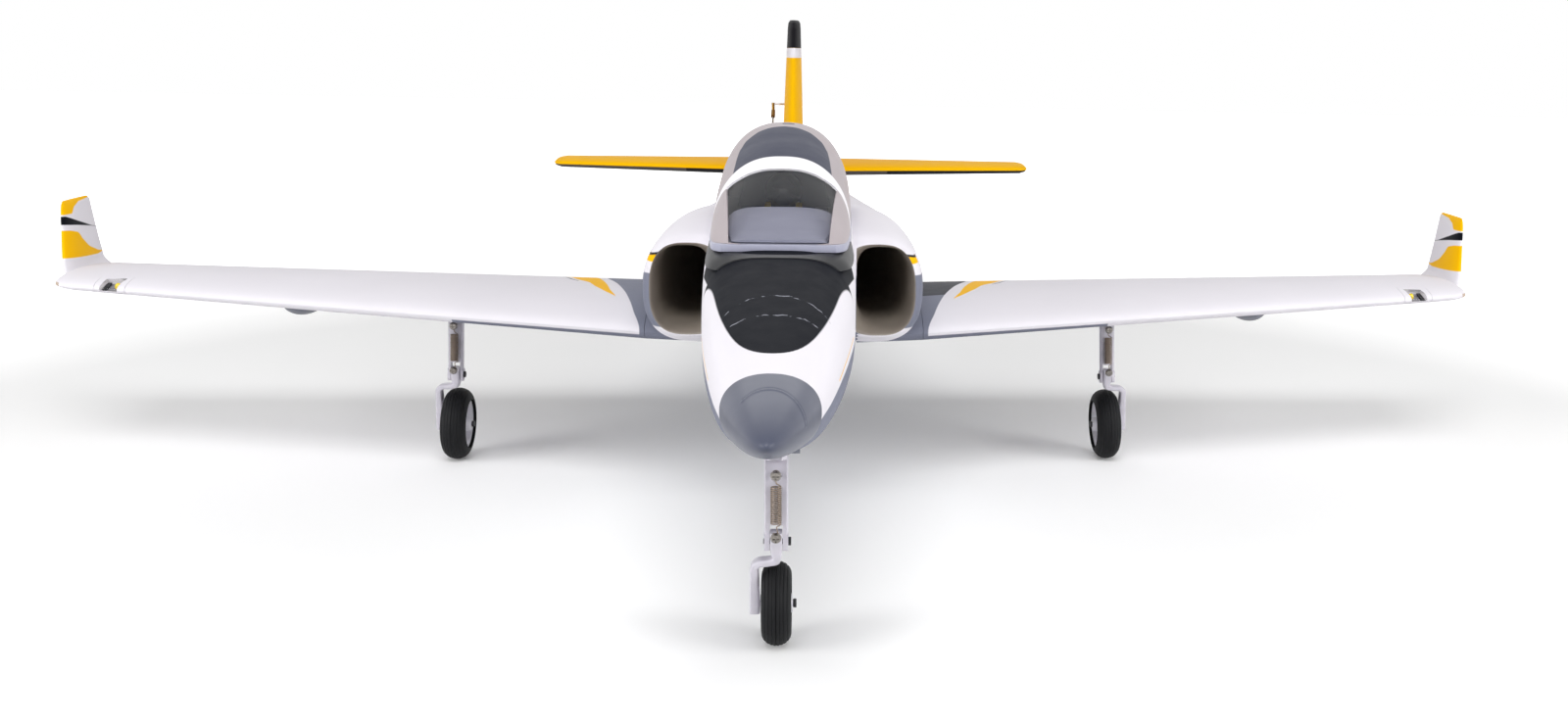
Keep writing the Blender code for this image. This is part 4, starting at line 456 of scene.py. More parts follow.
def ball(place, radius, stretch, count):
    """A sphere about a place, stretched along its axes."""
    bm = bmesh.new()
    bmesh.ops.create_uvsphere(bm, u_segments=count, v_segments=count * 2 // 3, radius=radius * MM)
    bmesh.ops.scale(bm, vec=stretch, verts=bm.verts[:])
    bmesh.ops.translate(bm, vec=place, verts=bm.verts[:])
    return bm


def foil_half(u, thickness):
    """Half the depth of a wing section at a share u of its chord."""
    form = 0.2969 * math.sqrt(u) - 0.126 * u - 0.3516 * u ** 2 + 0.2843 * u ** 3 - 0.1036 * u ** 4
    return 5 * thickness * form + EDGE_THICKNESS / 2 * u


def foil_skin(rows, put):
    """A wing section's skin through rows of (where, lead, trail, thickness, camber)."""
    count = 2 * FOIL_STEPS + 1

    def shape(turn, row):
        i = round(turn * count) % count
        where, lead, trail, thickness, camber = row
        u = (1 - math.cos(math.pi * abs(FOIL_STEPS - i) / FOIL_STEPS)) / 2
        half = foil_half(u, thickness)
        bow = 4 * camber * (trail - lead) * u * (1 - u)
        return put(where, lead + u * (trail - lead), bow + (half if i <= FOIL_STEPS else -half))

    return skin(shape, count, rows)


def block(low, high, place=point):
    """A box between two corners in millimetres."""
    bm = bmesh.new()
    bmesh.ops.create_cube(bm, size=1.0)
    near = Vector(place(*low))
    far = Vector(place(*high))
    size = far - near
    bmesh.ops.scale(bm, vec=[abs(part) for part in size], verts=bm.verts[:])
    bmesh.ops.translate(bm, vec=(near + far) / 2, verts=bm.verts[:])
    return bm


def prism(corners_near, corners_far):
    """A block between two flat outlines of the same count, in metres."""
    bm = bmesh.new()
    loops = [[bm.verts.new(corner) for corner in corners] for corners in (corners_near, corners_far)]
    faces = [bm.faces.new(loop) for loop in loops]
    edges = [edge for face in faces for edge in face.edges]
    bmesh.ops.bridge_loops(bm, edges=edges)
    bmesh.ops.recalc_face_normals(bm, faces=bm.faces[:])
    return bm


def bar(start, end, radius, count=32, end_radius=None):
    """A round bar, or a cone, between two places in metres; the radii are in millimetres."""
    along = end - start
    bm = bmesh.new()
    far_radius = radius if end_radius is None else end_radius
    bmesh.ops.create_cone(
        bm, cap_ends=True, segments=count, radius1=radius * MM, radius2=far_radius * MM, depth=along.length)
    turn = Vector((0, 0, 1)).rotation_difference(along).to_matrix().to_4x4()
    bmesh.ops.transform(bm, matrix=Matrix.Translation((start + end) / 2) @ turn, verts=bm.verts[:])
    return bm


def spun(profile, steps, axis, centre):
    """A profile of places turned once round an axis."""
    bm = bmesh.new()
    verts = [bm.verts.new(place) for place in profile]
    edges = [bm.edges.new(pair) for pair in zip(verts, verts[1:] + verts[:1])]
    bmesh.ops.spin(
        bm, geom=verts + edges, cent=centre, axis=axis, dvec=(0, 0, 0), angle=2 * math.pi, steps=steps,
        use_merge=True, use_duplicate=False)
    bmesh.ops.remove_doubles(bm, verts=bm.verts[:], dist=WELD)
    bmesh.ops.recalc_face_normals(bm, faces=bm.faces[:])
    return bm


def wall(bm, thickness):
    """Give an open skin a wall, grown inwards."""
    bmesh.ops.solidify(bm, geom=bm.faces[:], thickness=thickness * MM)
    bmesh.ops.recalc_face_normals(bm, faces=bm.faces[:])
    return bm


def add_mesh(name, bm):
    """Turn a bmesh into a smooth-shaded object at the origin."""
    mesh = bpy.data.meshes.new(name)
    bm.to_mesh(mesh)
    bm.free()
    obj = bpy.data.objects.new(name, mesh)
    bpy.context.collection.objects.link(obj)
    soften(obj)
    return obj


def soften(obj):
    obj.data.shade_smooth()
    obj.data.set_sharp_from_angle(angle=SHARP_ANGLE)


def combine(obj, operation, bms):
    """Cut, join or intersect an object with tools, and keep only the result."""
    tools = []
    for bm in bms:
        tool = bm if isinstance(bm, bpy.types.Object) else add_mesh("tool", bm)
        modifier = obj.modifiers.new(operation, "BOOLEAN")
        modifier.operation = operation
        modifier.solver = "EXACT"
        modifier.object = tool
        if tool.data.materials:
            modifier.material_mode = "TRANSFER"
        tools.append(tool)
    settle(obj)
    for tool in tools:
        bpy.data.objects.remove(tool)
    return obj


def settle(obj):
    """Apply an object's modifiers to its mesh."""
    bpy.context.view_layer.update()
    found = obj.evaluated_get(bpy.context.evaluated_depsgraph_get())
    mesh = bpy.data.meshes.new_from_object(found)
    obj.modifiers.clear()
    old = obj.data
    obj.data = mesh
    bpy.data.meshes.remove(old)
    mesh.name = obj.name
    soften(obj)


def cut(obj, *bms):
    return combine(obj, "DIFFERENCE", bms)


def join(obj, *bms):
    return combine(obj, "UNION", bms)


def keep(obj, *bms):
    return combine(obj, "INTERSECT", bms)


def round_edges(obj, width, segments=2, angle=35):
    """Break an object's sharp edges, as machining and moulding do."""
    bevel = obj.modifiers.new("Rounded edges", "BEVEL")
    bevel.width = width * MM
    bevel.segments = segments
    bevel.limit_method = "ANGLE"
    bevel.angle_limit = math.radians(angle)
    bevel.use_clamp_overlap = True
    settle(obj)


def wire(name, path, radius, sides=3):
    """A round wire along places in metres."""
    curve = bpy.data.curves.new(name, "CURVE")
    curve.dimensions = "3D"
    curve.bevel_depth = radius * MM
    curve.bevel_resolution = sides
    curve.use_fill_caps = True
    spline = curve.splines.new("POLY")
    spline.points.add(len(path) - 1)
    for knot, place in zip(spline.points, path):
        knot.co = (*place, 1.0)
    drawn_wire = bpy.data.objects.new(name, curve)
    bpy.context.collection.objects.link(drawn_wire)
    bpy.context.view_layer.update()
    found = drawn_wire.evaluated_get(bpy.context.evaluated_depsgraph_get())
    mesh = bpy.data.meshes.new_from_object(found)
    bpy.data.objects.remove(drawn_wire)
    bpy.data.curves.remove(curve)
    obj = bpy.data.objects.new(name, mesh)
    bpy.context.collection.objects.link(obj)
    mesh.shade_smooth()
    return obj


def paint(obj, **layers):
    """Store each layer's reach in millimetres on the mesh's points.

    A layer has one field for each edge that bounds it, and lies where all of them are positive.
    """
    places = [(vert.co.x / MM, vert.co.y / MM + LENGTH / 2, vert.co.z / MM) for vert in obj.data.vertices]
    for name, rule in layers.items():
        for i, values in enumerate(zip(*(rule(*place) for place in places))):
            attribute = obj.data.attributes.new(f"{name}_{i}", "FLOAT", "POINT")
            attribute.data.foreach_set("value", values)


def dress(obj, material, body, slot, *nodes):
    """Give a piece its material, the body that carries it and the solids that it stands for."""
    if len(obj.data.materials) > 1:
        obj.data.materials[0] = material
    else:
        obj.data.materials.clear()
        obj.data.materials.append(material)
    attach(obj, body)
    if nodes:
        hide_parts(*nodes)
    return obj


# Materials

BEAD = 2.6
PAINT_EDGE = 0.3


def linear(hex_colour):
    """An sRGB hex value as the linear colour that a shader takes."""
    parts = [int(hex_colour[i:i + 2], 16) / 255 for i in (1, 3, 5)]
    return (*(p / 12.92 if p <= 0.04045 else ((p + 0.055) / 1.055) ** 2.4 for p in parts), 1.0)


def shade(hex_colour, factor):
    """A linear colour made lighter or darker."""
    red, green, blue, alpha = linear(hex_colour)
    return (red * factor, green * factor, blue * factor, alpha)


def add_node(tree, kind, settings=None, values=None, links=None):
    """Add a shader node with its settings, input values and links."""
    node = tree.nodes.new(kind)
    for name, value in (settings or {}).items():
        setattr(node, name, value)
    for name, value in (values or {}).items():
        node.inputs[name].default_value = value
    for name, socket in (links or {}).items():
        tree.links.new(socket, node.inputs[name])
    return node


def new_material(name):
    material = bpy.data.materials.new(name)
    material.use_nodes = True
    tree = material.node_tree
    place = add_node(tree, "ShaderNodeTexCoord").outputs["Object"]
    return material, tree, tree.nodes["Principled BSDF"], place


def drifting_shades(tree, place, size, detail, near, far):
    """Two shades that drift into each other in patches of a size in millimetres: the drift and the colour."""
    drift = add_node(tree, "ShaderNodeTexNoise", None, {"Scale": 1 / (size * MM), "Detail": detail},
                     {"Vector": place}).outputs["Fac"]
    colour = add_node(tree, "ShaderNodeMix", {"data_type": "RGBA"}, {6: near, 7: far}, {0: drift})
    return drift, colour.outputs[2]


def painted_foam(name, base, layers=(), roughness=0.5, specular=0.035):
    """Satin paint over moulded bead foam: the beads' outlines show faintly under an even skin.

    Each layer is its name, its colour, how many edges bound it and whether it is worn through in places.
    """
    material, tree, shader, place = new_material(name)
    _, colour = drifting_shades(tree, place, 70, 3.0, linear(base), shade(base, 0.93))
    wear = add_node(tree, "ShaderNodeTexNoise", None, {"Scale": 1 / (3.5 * MM), "Detail": 6.0},
                    {"Vector": place})
    chips = add_node(
        tree, "ShaderNodeMapRange", None, {"From Min": 0.46, "From Max": 0.56},
        {"Value": wear.outputs["Fac"]})
    for layer, paint_colour, edges, worn in layers:
        fields = [add_node(tree, "ShaderNodeAttribute", {"attribute_name": f"{layer}_{i}"}).outputs["Fac"]
                  for i in range(edges)]
        reach = fields[0]
        for field in fields[1:]:
            reach = add_node(tree, "ShaderNodeMath", {"operation": "MINIMUM"}, None,
                             {0: reach, 1: field}).outputs[0]
        cover = add_node(
            tree, "ShaderNodeMapRange", None, {"From Min": -PAINT_EDGE, "From Max": PAINT_EDGE},
            {"Value": reach}).outputs["Result"]
        if worn:
            cover = add_node(
                tree, "ShaderNodeMath", {"operation": "MINIMUM"}, None,
                {0: cover, 1: chips.outputs["Result"]}).outputs[0]
        colour = add_node(
            tree, "ShaderNodeMix", {"data_type": "RGBA"}, {7: linear(paint_colour)},
            {0: cover, 6: colour}).outputs[2]
    tree.links.new(colour, shader.inputs["Base Color"])
    sheen = add_node(tree, "ShaderNodeTexNoise", None, {"Scale": 1 / (9 * MM), "Detail": 2.0},
                     {"Vector": place})
    rough = add_node(
        tree, "ShaderNodeMapRange", None, {"To Min": roughness - 0.05, "To Max": roughness + 0.07},
        {"Value": sheen.outputs["Fac"]})
    tree.links.new(rough.outputs["Result"], shader.inputs["Roughness"])
    beads = add_node(
        tree, "ShaderNodeTexVoronoi", {"feature": "DISTANCE_TO_EDGE"}, {"Scale": 1 / (BEAD * MM)},
        {"Vector": place})
    crease = add_node(
        tree, "ShaderNodeMapRange", None, {"From Max": 0.12}, {"Value": beads.outputs["Distance"]})
    bump = add_node(
        tree, "ShaderNodeBump", None, {"Strength": 0.2, "Distance": 0.04 * MM},
        {"Height": crease.outputs["Result"]})
    tree.links.new(bump.outputs["Normal"], shader.inputs["Normal"])
    shader.inputs["IOR"].default_value = 1.46
    shader.inputs["Specular IOR Level"].default_value = specular
    return material


def gloss_paint(name, base, roughness, specular):
    """A smooth sprayed gloss: softboxes show in it as long, soft-edged highlights."""
    material, tree, shader, place = new_material(name)
    tone, colour = drifting_shades(tree, place, 18, 4.0, linear(base), shade(base, 0.85))
    tree.links.new(colour, shader.inputs["Base Color"])
    rough = add_node(
        tree, "ShaderNodeMapRange", None, {"To Min": roughness - 0.03, "To Max": roughness + 0.06},
        {"Value": tone})
    tree.links.new(rough.outputs["Result"], shader.inputs["Roughness"])
    peel = add_node(tree, "ShaderNodeTexNoise", None, {"Scale": 1 / (1.6 * MM), "Detail": 2.0},
                    {"Vector": place})
    bump = add_node(
        tree, "ShaderNodeBump", None, {"Strength": 0.1, "Distance": 0.004 * MM},
        {"Height": peel.outputs["Fac"]})
    tree.links.new(bump.outputs["Normal"], shader.inputs["Normal"])
    shader.inputs["IOR"].default_value = 1.5
    shader.inputs["Specular IOR Level"].default_value = specular
    return material


def moulded_plastic(name, base, roughness, grain=0.6, depth=0.02):
    """Injection-moulded plastic: an even colour with a fine spark-eroded grain in its gloss."""
    material, tree, shader, place = new_material(name)
    tone, colour = drifting_shades(tree, place, 14, 4.0, shade(base, 1.08), shade(base, 0.86))
    tree.links.new(colour, shader.inputs["Base Color"])
    skin_noise = add_node(tree, "ShaderNodeTexNoise", None, {"Scale": 1 / (grain * MM), "Detail": 2.0},
                          {"Vector": place})
    rough = add_node(
        tree, "ShaderNodeMapRange", None, {"To Min": roughness - 0.06, "To Max": roughness + 0.08},
        {"Value": tone})
    tree.links.new(rough.outputs["Result"], shader.inputs["Roughness"])
    bump = add_node(
        tree, "ShaderNodeBump", None, {"Strength": 0.3, "Distance": depth * MM},
        {"Height": skin_noise.outputs["Fac"]})
    tree.links.new(bump.outputs["Normal"], shader.inputs["Normal"])
    shader.inputs["IOR"].default_value = 1.5
    return material


def turned_metal(name, base, roughness, metallic, brush=0.25):
    """Turned and coated metal: fine rings of the tool's marks run through a soft gloss."""
    material, tree, shader, place = new_material(name)
    _, colour = drifting_shades(tree, place, 6, 5.0, linear(base), shade(base, 0.84))
    tree.links.new(colour, shader.inputs["Base Color"])
    marks = add_node(
        tree, "ShaderNodeTexWave", {"bands_direction": "Z"},
        {"Scale": 1 / (20 * brush * MM), "Distortion": 2.0, "Detail": 2.0}, {"Vector": place})
    rough = add_node(
        tree, "ShaderNodeMapRange", None, {"To Min": roughness - 0.05, "To Max": roughness + 0.08},
        {"Value": marks.outputs["Fac"]})
    tree.links.new(rough.outputs["Result"], shader.inputs["Roughness"])
    shader.inputs["Metallic"].default_value = metallic
    return material


def tyre_rubber():
    """Moulded rubber: matt black with a dusty, slightly worn bloom."""
    material, tree, shader, place = new_material("tyre_rubber")
    dust, colour = drifting_shades(tree, place, 3, 6.0, linear("#08090b"), linear("#131417"))
    tree.links.new(colour, shader.inputs["Base Color"])
    rough = add_node(
        tree, "ShaderNodeMapRange", None, {"To Min": 0.55, "To Max": 0.8}, {"Value": dust})
    tree.links.new(rough.outputs["Result"], shader.inputs["Roughness"])
    bump = add_node(
        tree, "ShaderNodeBump", None, {"Strength": 0.35, "Distance": 0.08 * MM}, {"Height": dust})
    tree.links.new(bump.outputs["Normal"], shader.inputs["Normal"])
    shader.inputs["Specular IOR Level"].default_value = 0.25
    return material


def clear_acrylic(name, base, alpha):
    """Vacuum-formed clear sheet: see-through with a crisp gloss and a faint haze of forming marks."""
    material, tree, shader, place = new_material(name)
    haze = add_node(tree, "ShaderNodeTexNoise", None, {"Scale": 1 / (25 * MM), "Detail": 3.0},
                    {"Vector": place})
    rough = add_node(
        tree, "ShaderNodeMapRange", None, {"To Min": 0.03, "To Max": 0.10}, {"Value": haze.outputs["Fac"]})
    tree.links.new(rough.outputs["Result"], shader.inputs["Roughness"])
    shader.inputs["Base Color"].default_value = linear(base)
    shader.inputs["Alpha"].default_value = alpha
    shader.inputs["IOR"].default_value = 1.49
    shader.inputs["Specular IOR Level"].default_value = 0.28
    return material


def lamp_glow():
    """A yellow diode in its dome: a saturated body that gives off a little light of its own."""
    material, tree, shader, place = new_material("lamp_diode_yellow")
    _, colour = drifting_shades(tree, place, 2, 2.0, linear("#e8d21a"), linear("#c6a008"))
    tree.links.new(colour, shader.inputs["Base Color"])
    shader.inputs["Roughness"].default_value = 0.2
    shader.inputs["Emission Color"].default_value = linear("#ffe23a")
    shader.inputs["Emission Strength"].default_value = 0.25
    return material


WHITE = "#e3e0e6"
SLATE = "#777a89"
CONE_SLATE = "#4b4f60"
CHARCOAL = "#3c3d44"
YELLOW = "#f2b705"
BLACK = "#0e1017"
SCUFF = "#8f919b"

MATERIALS = {
    "body": painted_foam("white_foam_body", WHITE, (
        ("slate", SLATE, 1, False), ("panel", BLACK, 3, False), ("arc_a", SCUFF, 3, True),
        ("arc_b", SCUFF, 3, True), ("strip", BLACK, 4, False), ("line", YELLOW, 5, False),
        ("patch", YELLOW, 5, False), ("rim", "#26262b", 5, False))),
    "wing": painted_foam("white_foam_wing", WHITE, (
        ("slate", SLATE, 1, False), ("under", SLATE, 2, False), ("charcoal", CHARCOAL, 3, False),
        ("swoosh", YELLOW, 3, False), ("stripe", CHARCOAL, 4, False), ("cap", YELLOW, 2, False),
        ("band", YELLOW, 3, False), ("wedge", BLACK, 3, False), ("rub", "#b7a596", 3, False))),
    "tail": painted_foam("yellow_foam_tail", YELLOW, (
        ("white", WHITE, 2, False), ("charcoal", "#55504c", 1, False), ("black", "#17161a", 2, False))),
    "cone": gloss_paint("slate_gloss_nose", CONE_SLATE, 0.34, 0.28),
    "fairing": moulded_plastic("slate_moulded_fairing", "#6e717c", 0.38),
    "duct": moulded_plastic("intake_liner_plastic", "#8a8177", 0.5),
    "canopy": painted_foam("canopy_paint", "#aea5a8", (
        ("white", "#eceaee", 2, False), ("dome", "#373a4b", 2, False), ("mark", BLACK, 4, False)),
        0.4, 0.06),
    "glass": clear_acrylic("canopy_clear_acrylic", "#2a2d38", 0.14),
    "lens": clear_acrylic("light_cover_acrylic", "#24252a", 0.12),
    "black": moulded_plastic("black_moulded_nylon", "#121317", 0.42),
    "cockpit": moulded_plastic("cockpit_grey_plastic", "#a6a7bb", 0.75, 0.6, 0.002),
    "hatch": moulded_plastic("hatch_grey_plastic", "#9c9db0", 0.4, 0.6, 0.01),
    "cockpit_dark": moulded_plastic("cockpit_dark_plastic", "#5f6480", 0.7, 0.6, 0.002),
    "suit": moulded_plastic("pilot_suit_paint", "#363a45", 0.7, 0.9, 0.05),
    "helmet": gloss_paint("pilot_helmet_paint", "#1e212d", 0.16, 0.5),
    "visor": gloss_paint("pilot_visor_gloss", "#0d0f16", 0.14, 0.7),
    "harness": moulded_plastic("harness_yellow", "#d8b92e", 0.6),
    "alloy": turned_metal("lavender_coated_alloy", "#d9d5df", 0.4, 0.1),
    "steel": turned_metal("bright_screw_steel", "#8d8883", 0.28, 1.0),
    "spring": turned_metal("brown_spring_steel", "#97897d", 0.4, 0.85),
    "tyre": tyre_rubber(),
    "hub": moulded_plastic("pale_hub_nylon", "#d6d4db", 0.4),
    "lamp": lamp_glow(),
    "reflector": turned_metal("lamp_reflector_silver", "#a9a7ad", 0.3, 0.6),
    "tube": moulded_plastic("thrust_tube_polyester", "#8d8c8a", 0.35),
    "motor": turned_metal("motor_can_silver", "#7f8087", 0.3, 1.0),
    "wrap": moulded_plastic("cell_wrap_blue", "#24406f", 0.3),
    "carbon": moulded_plastic("carbon_spar", "#18191b", 0.3),
    "brass": turned_metal("brass_link", "#8a6a35", 0.35, 0.9),
}


# Fuselage

def nose_cone():
    rear = station_at(CORE, CONE_LENGTH)
    shares = [0.00002, 0.0002, 0.0006, 0.0015, 0.003, 0.006, 0.011, 0.018, 0.027, 0.038, 0.052, 0.07, 0.1,
              0.14, 0.19, 0.25, 0.32, 0.4]
    rings = []
    for share in shares + spread(0.45, 0.8, 0.012) + [0.87, 0.94, 1.0]:
        size = share ** CONE_POWER
        middle = CONE_TIP_Z + (rear.middle - CONE_TIP_Z) * share
        power = 2.1 + 0.1 * share
        station = Station(
            share * (CONE_LENGTH - GAP), 0, rear.half_width * size,
            middle + (rear.top - rear.middle) * size, middle - (rear.middle - rear.bottom) * size, middle,
            power, power)
        rings.append((station.s, *outline(station, 144)))
    cone = add_mesh("nose_cone_skin", ring_skin(rings))
    for vert in cone.data.vertices:
        x = vert.co.x / MM
        s = vert.co.y / MM + LENGTH / 2
        z = vert.co.z / MM
        if z > 158 and -11.5 < x:
            ridge = s - (48.9 - 0.055 * x * x)
            height = 0.35 * math.exp(-(ridge / 0.8) ** 2) - 0.25 * math.exp(-((ridge - 1.6) / 0.8) ** 2)
            vert.co += Vector((x, 0, z - 152)).normalized() * height * MM
    dress(cone, MATERIALS["cone"], "airframe", "grey_paint", "nose_cone")


def lip_opening(s, end):
    """How far a lip's wall has opened from its front edge, from 0 to 1."""
    t = min(1.0, max(0.0, (end - s) / (end - LIP_FRONT)))
    return math.sqrt(max(0.0, 1 - t * t))


def lip_rings(stations, marks, end, crest_share, weight, grow=0.0):
    """Rings of a nacelle or its duct, drawn together into a rounded lip round the intake."""
    outer = np.array(outline(station_at(NACELLE, MOUTH_S), NACELLE_COUNT))
    inner = np.array(outline(station_at(DUCT, MOUTH_S), NACELLE_COUNT))
    crest = outer + (inner - outer) * crest_share
    rings = []
    for s in marks:
        inset = grow if s <= end else 0.0
        ring = np.array(outline(station_at(stations, max(s, MOUTH_S)), NACELLE_COUNT, inset))
        rings.append((s, *(ring + (crest - ring) * (1 - lip_opening(s, end)) * weight)))
    return rings


LIP_MARKS = [LIP_FRONT, 389.15, 389.5, 390.1, 391, 392.2, 393.8, LIP_OUTER_END]
MOUTH_MARKS = [LIP_FRONT - 4] + LIP_MARKS + [398, 401, 405, 410, 415, LIP_INNER_END]


def nacelle(side, marks):
    return ring_skin(lip_rings(NACELLE, LIP_MARKS + marks, LIP_OUTER_END, LIP_CREST, 1.0), side)


def duct_tool(side):
    """The air's way in: it flares to the lip all round and runs straight along the fuselage's side."""
    marks = MOUTH_MARKS + [LIP_INNER_END + 0.05] + spread(428, DUCT_END, 8)
    rings = []
    for s, xs, zs in lip_rings(DUCT, marks, LIP_INNER_END, LIP_CREST + 0.06, 1.0, -GAP - DUCT_WALL):
        station = station_at(DUCT, max(s, MOUTH_S))
        rings.append((s, np.maximum(xs, station.centre - station.half_width + 0.3), zs))
    tool = add_mesh("tool", ring_skin(rings, side))
    tool.data.materials.append(MATERIALS["duct"])
    return tool


def glove(side):
    """The fuselage's own stub of wing."""
    rows = []
    for x in spread(50, WING_ROOT_X, 4):
        lead = WING_ROOT_LEAD - 12 * (WING_ROOT_X - x) / 46
        rows.append((x, lead, WING_ROOT_TRAIL, WING_ROOT_THICKNESS, WING_CAMBER))
    return foil_skin(rows, lambda x, s, h: point(side * x, s, WING_ROOT_Z + h))


def tube_radius(s):
    share = (s - FAN_FRONT - FAN_LENGTH) / (BODY_END - FAN_FRONT - FAN_LENGTH)
    return TUBE_FRONT_RADIUS + (TUBE_REAR_RADIUS - TUBE_FRONT_RADIUS) * share


def fan_bar(start, end, radius, end_radius=None):
    return bar(point(0, start, FAN_Z), point(0, end, FAN_Z), radius, 64, end_radius)


def battery_bay():
    return block((-BAY_HALF_WIDTH, BAY_FRONT, BAY_FLOOR_Z), (BAY_HALF_WIDTH, BAY_REAR, REACH))


def nose_well():
    """Room under the nose for the leg and its wheel, which fold aft."""
    _, s, z = NOSE_PIVOT
    return block((-23.0, s - 17, 0), (23.0, s + z + 6, z + TRAIL + NOSE_WHEEL_RADIUS + 9))


def tube_room():
    """Room for the thrust tube, from the fan to the tail."""
    fan_end = FAN_FRONT + FAN_LENGTH
    return fan_bar(fan_end, BODY_END + 5, tube_radius(fan_end) + GAP, tube_radius(BODY_END) + GAP)


def fuselage():
    seam_end = TAIL_SEAM - GAP / 2
    core_marks = spread(CONE_LENGTH, 300, 5) + spread(308, seam_end, 9)
    front = add_mesh("front_body", body_skin(CORE, core_marks, BODY_COUNT))
    spine = body_skin(SPINE, spread(HATCH_REAR + GAP, seam_end, 10), 64)
    join(front, spine)
    front.data.materials.append(MATERIALS["body"])
    marks = spread(401, 450, 6) + spread(458, seam_end, 9)
    for _, side in SIDES:
        join(front, nacelle(side, marks), glove(side))
    cut(front, block((-REACH, HATCH_FRONT, DECK_Z), (REACH, HATCH_REAR, REACH)))
    cut(front, battery_bay(), nose_well())
    cut(front, duct_tool(1), duct_tool(-1))
    fan_end = FAN_FRONT + FAN_LENGTH
    cut(front, fan_bar(PLENUM_FRONT, fan_end, PLENUM_RADIUS, 35.3),
        fan_bar(FAN_FRONT - GAP, fan_end + GAP, FAN_SEAT_RADIUS), tube_room())
    paint(front, slate=body_slate, panel=nose_panel, arc_a=first_scuff, arc_b=second_scuff,
          strip=hatch_strip, line=nose_line, patch=lip_patch, rim=lip_rim)
    dress(front, MATERIALS["body"], "airframe", "white_foam", "front_fuselage")

    seam_start = TAIL_SEAM + GAP / 2
    rear = add_mesh("rear_body", body_skin(CORE, spread(seam_start, BODY_END, 10), BODY_COUNT))
    join(rear, body_skin(SPINE, spread(seam_start, 1000, 10), 64))
    for _, side in SIDES:
        join(rear, body_skin(NACELLE, spread(seam_start, 1070, 10), NACELLE_COUNT, side))
    cut(rear, tube_room())
    horn_s = rudder_horn_s()
    far_s = horn_s - PUSHROD_LENGTH * math.cos(PUSHROD_DROP)
    wide = ROD_RADIUS + GAP
    cut(rear, block((-RUDDER_HORN_REACH - wide, far_s - 16, FIN_ROOT_Z - 16),
                    (-RUDDER_HORN_REACH + wide, far_s + 38, FIN_ROOT_Z + 30)))
    bare = dict.fromkeys(("panel", "arc_a", "arc_b", "strip", "line", "patch", "rim"), no_paint)
    paint(rear, slate=body_slate, **bare)
    dress(rear, MATERIALS["body"], "airframe", "white_foam", "rear_fuselage")


def hatch_seat():
    """The black ledge that the hatch's front edge rests on."""
    seat = add_mesh("hatch_seat", body_skin(SEAT, spread(229, 296, 3), BODY_COUNT))
    keep(seat, block((-REACH, 228, 196), (REACH, 300, DECK_Z)))
    cut(seat, battery_bay())
    dress(seat, MATERIALS["black"], "airframe", "black_plastic")


def no_paint(x, s, z):
    return (-FAR_INSIDE,) * 5


def body_slate(x, s, z):
    """The grey belly and the grey lower half of the nacelles."""
    belly = drawn(BELLY_EDGE, s) - z
    if s > MOUTH_S - 6 and abs(x) > 47:
        belly = max(belly, 171.0 - 0.06 * (s - MOUTH_S) - z)
        if s < 400:
            belly = min(belly, z - 136)
    return (belly,)


def nose_panel(x, s, z):
    """The matt black panel ahead of the windscreen."""
    wide = abs(x)
    rise = wide ** 2 * (0.036 + 0.0019 * wide)
    slope = wide * (0.072 + 0.0057 * wide)
    if rise > PANEL_STRAIGHT:
        fade = math.exp((PANEL_STRAIGHT - rise) / PANEL_EASE)
        rise = PANEL_STRAIGHT + PANEL_EASE * (1 - fade)
        slope *= fade
    return (s - PANEL_TIP_S - rise) / math.hypot(1, slope), PANEL_REAR_S + 0.5 - s, z - PANEL_LOW_Z


def scuff_arc(x, s, arc):
    """An arc rubbed across the black panel."""
    middle, bend = SCUFF_ARCS[arc]
    wander = 0.5 * math.sin(x * 0.7 + arc) + 0.35 * math.sin(x * 1.6)
    off = s - middle + bend * x * x + wander
    return 0.5 + off, 0.5 - off, 27 - 6 * arc - abs(x)


def first_scuff(x, s, z):
    return scuff_arc(x, s, 0)


def second_scuff(x, s, z):
    return scuff_arc(x, s, 1)


def hatch_strip(x, s, z):
    """The black lip at the windscreen's foot."""
    return s - PANEL_REAR_S, HATCH_FRONT + 15 - s, z - STRIP_LOW_Z, FAR_INSIDE


def nose_line(x, s, z):
    """A thin yellow line along the nose's side."""
    off = beyond(NOSE_LINE, s, z)
    along = s - NOSE_LINE_FRONT_S, NOSE_LINE_REAR_S - s
    return NOSE_LINE_HALF + off, NOSE_LINE_HALF - off, *along, abs(x) - NOSE_LINE_INNER_X


def lip_patch(x, s, z):
    """A yellow patch on each intake lip."""
    along = LIP_PATCH_REAR_S - s, s - LIP_PAINT_FRONT_S
    return z - LIP_PATCH_LOW_Z, LIP_PATCH_TOP_Z - z, abs(x) - LIP_PATCH_INNER_X, *along


def lip_rim(x, s, z):
    """A thin dark line above the yellow patch on each intake lip."""
    off = z - LIP_RIM_Z - 0.25 * (80 - abs(x))
    along = LIP_RIM_REAR_S - s, s - LIP_PAINT_FRONT_S
    return LIP_RIM_HALF + off, LIP_RIM_HALF - off, abs(x) - LIP_RIM_INNER_X, *along


def intake_ducts():
    for name, side in SIDES:
        skin_bm = body_skin(DUCT, spread(LIP_INNER_END + GAP, 566, 7), NACELLE_COUNT, side, -GAP,
                            closed=False)
        liner = add_mesh(name + "_duct_liner", wall(skin_bm, DUCT_WALL))
        dress(liner, MATERIALS["duct"], "airframe", "duct_plastic", name + "_intake_duct")


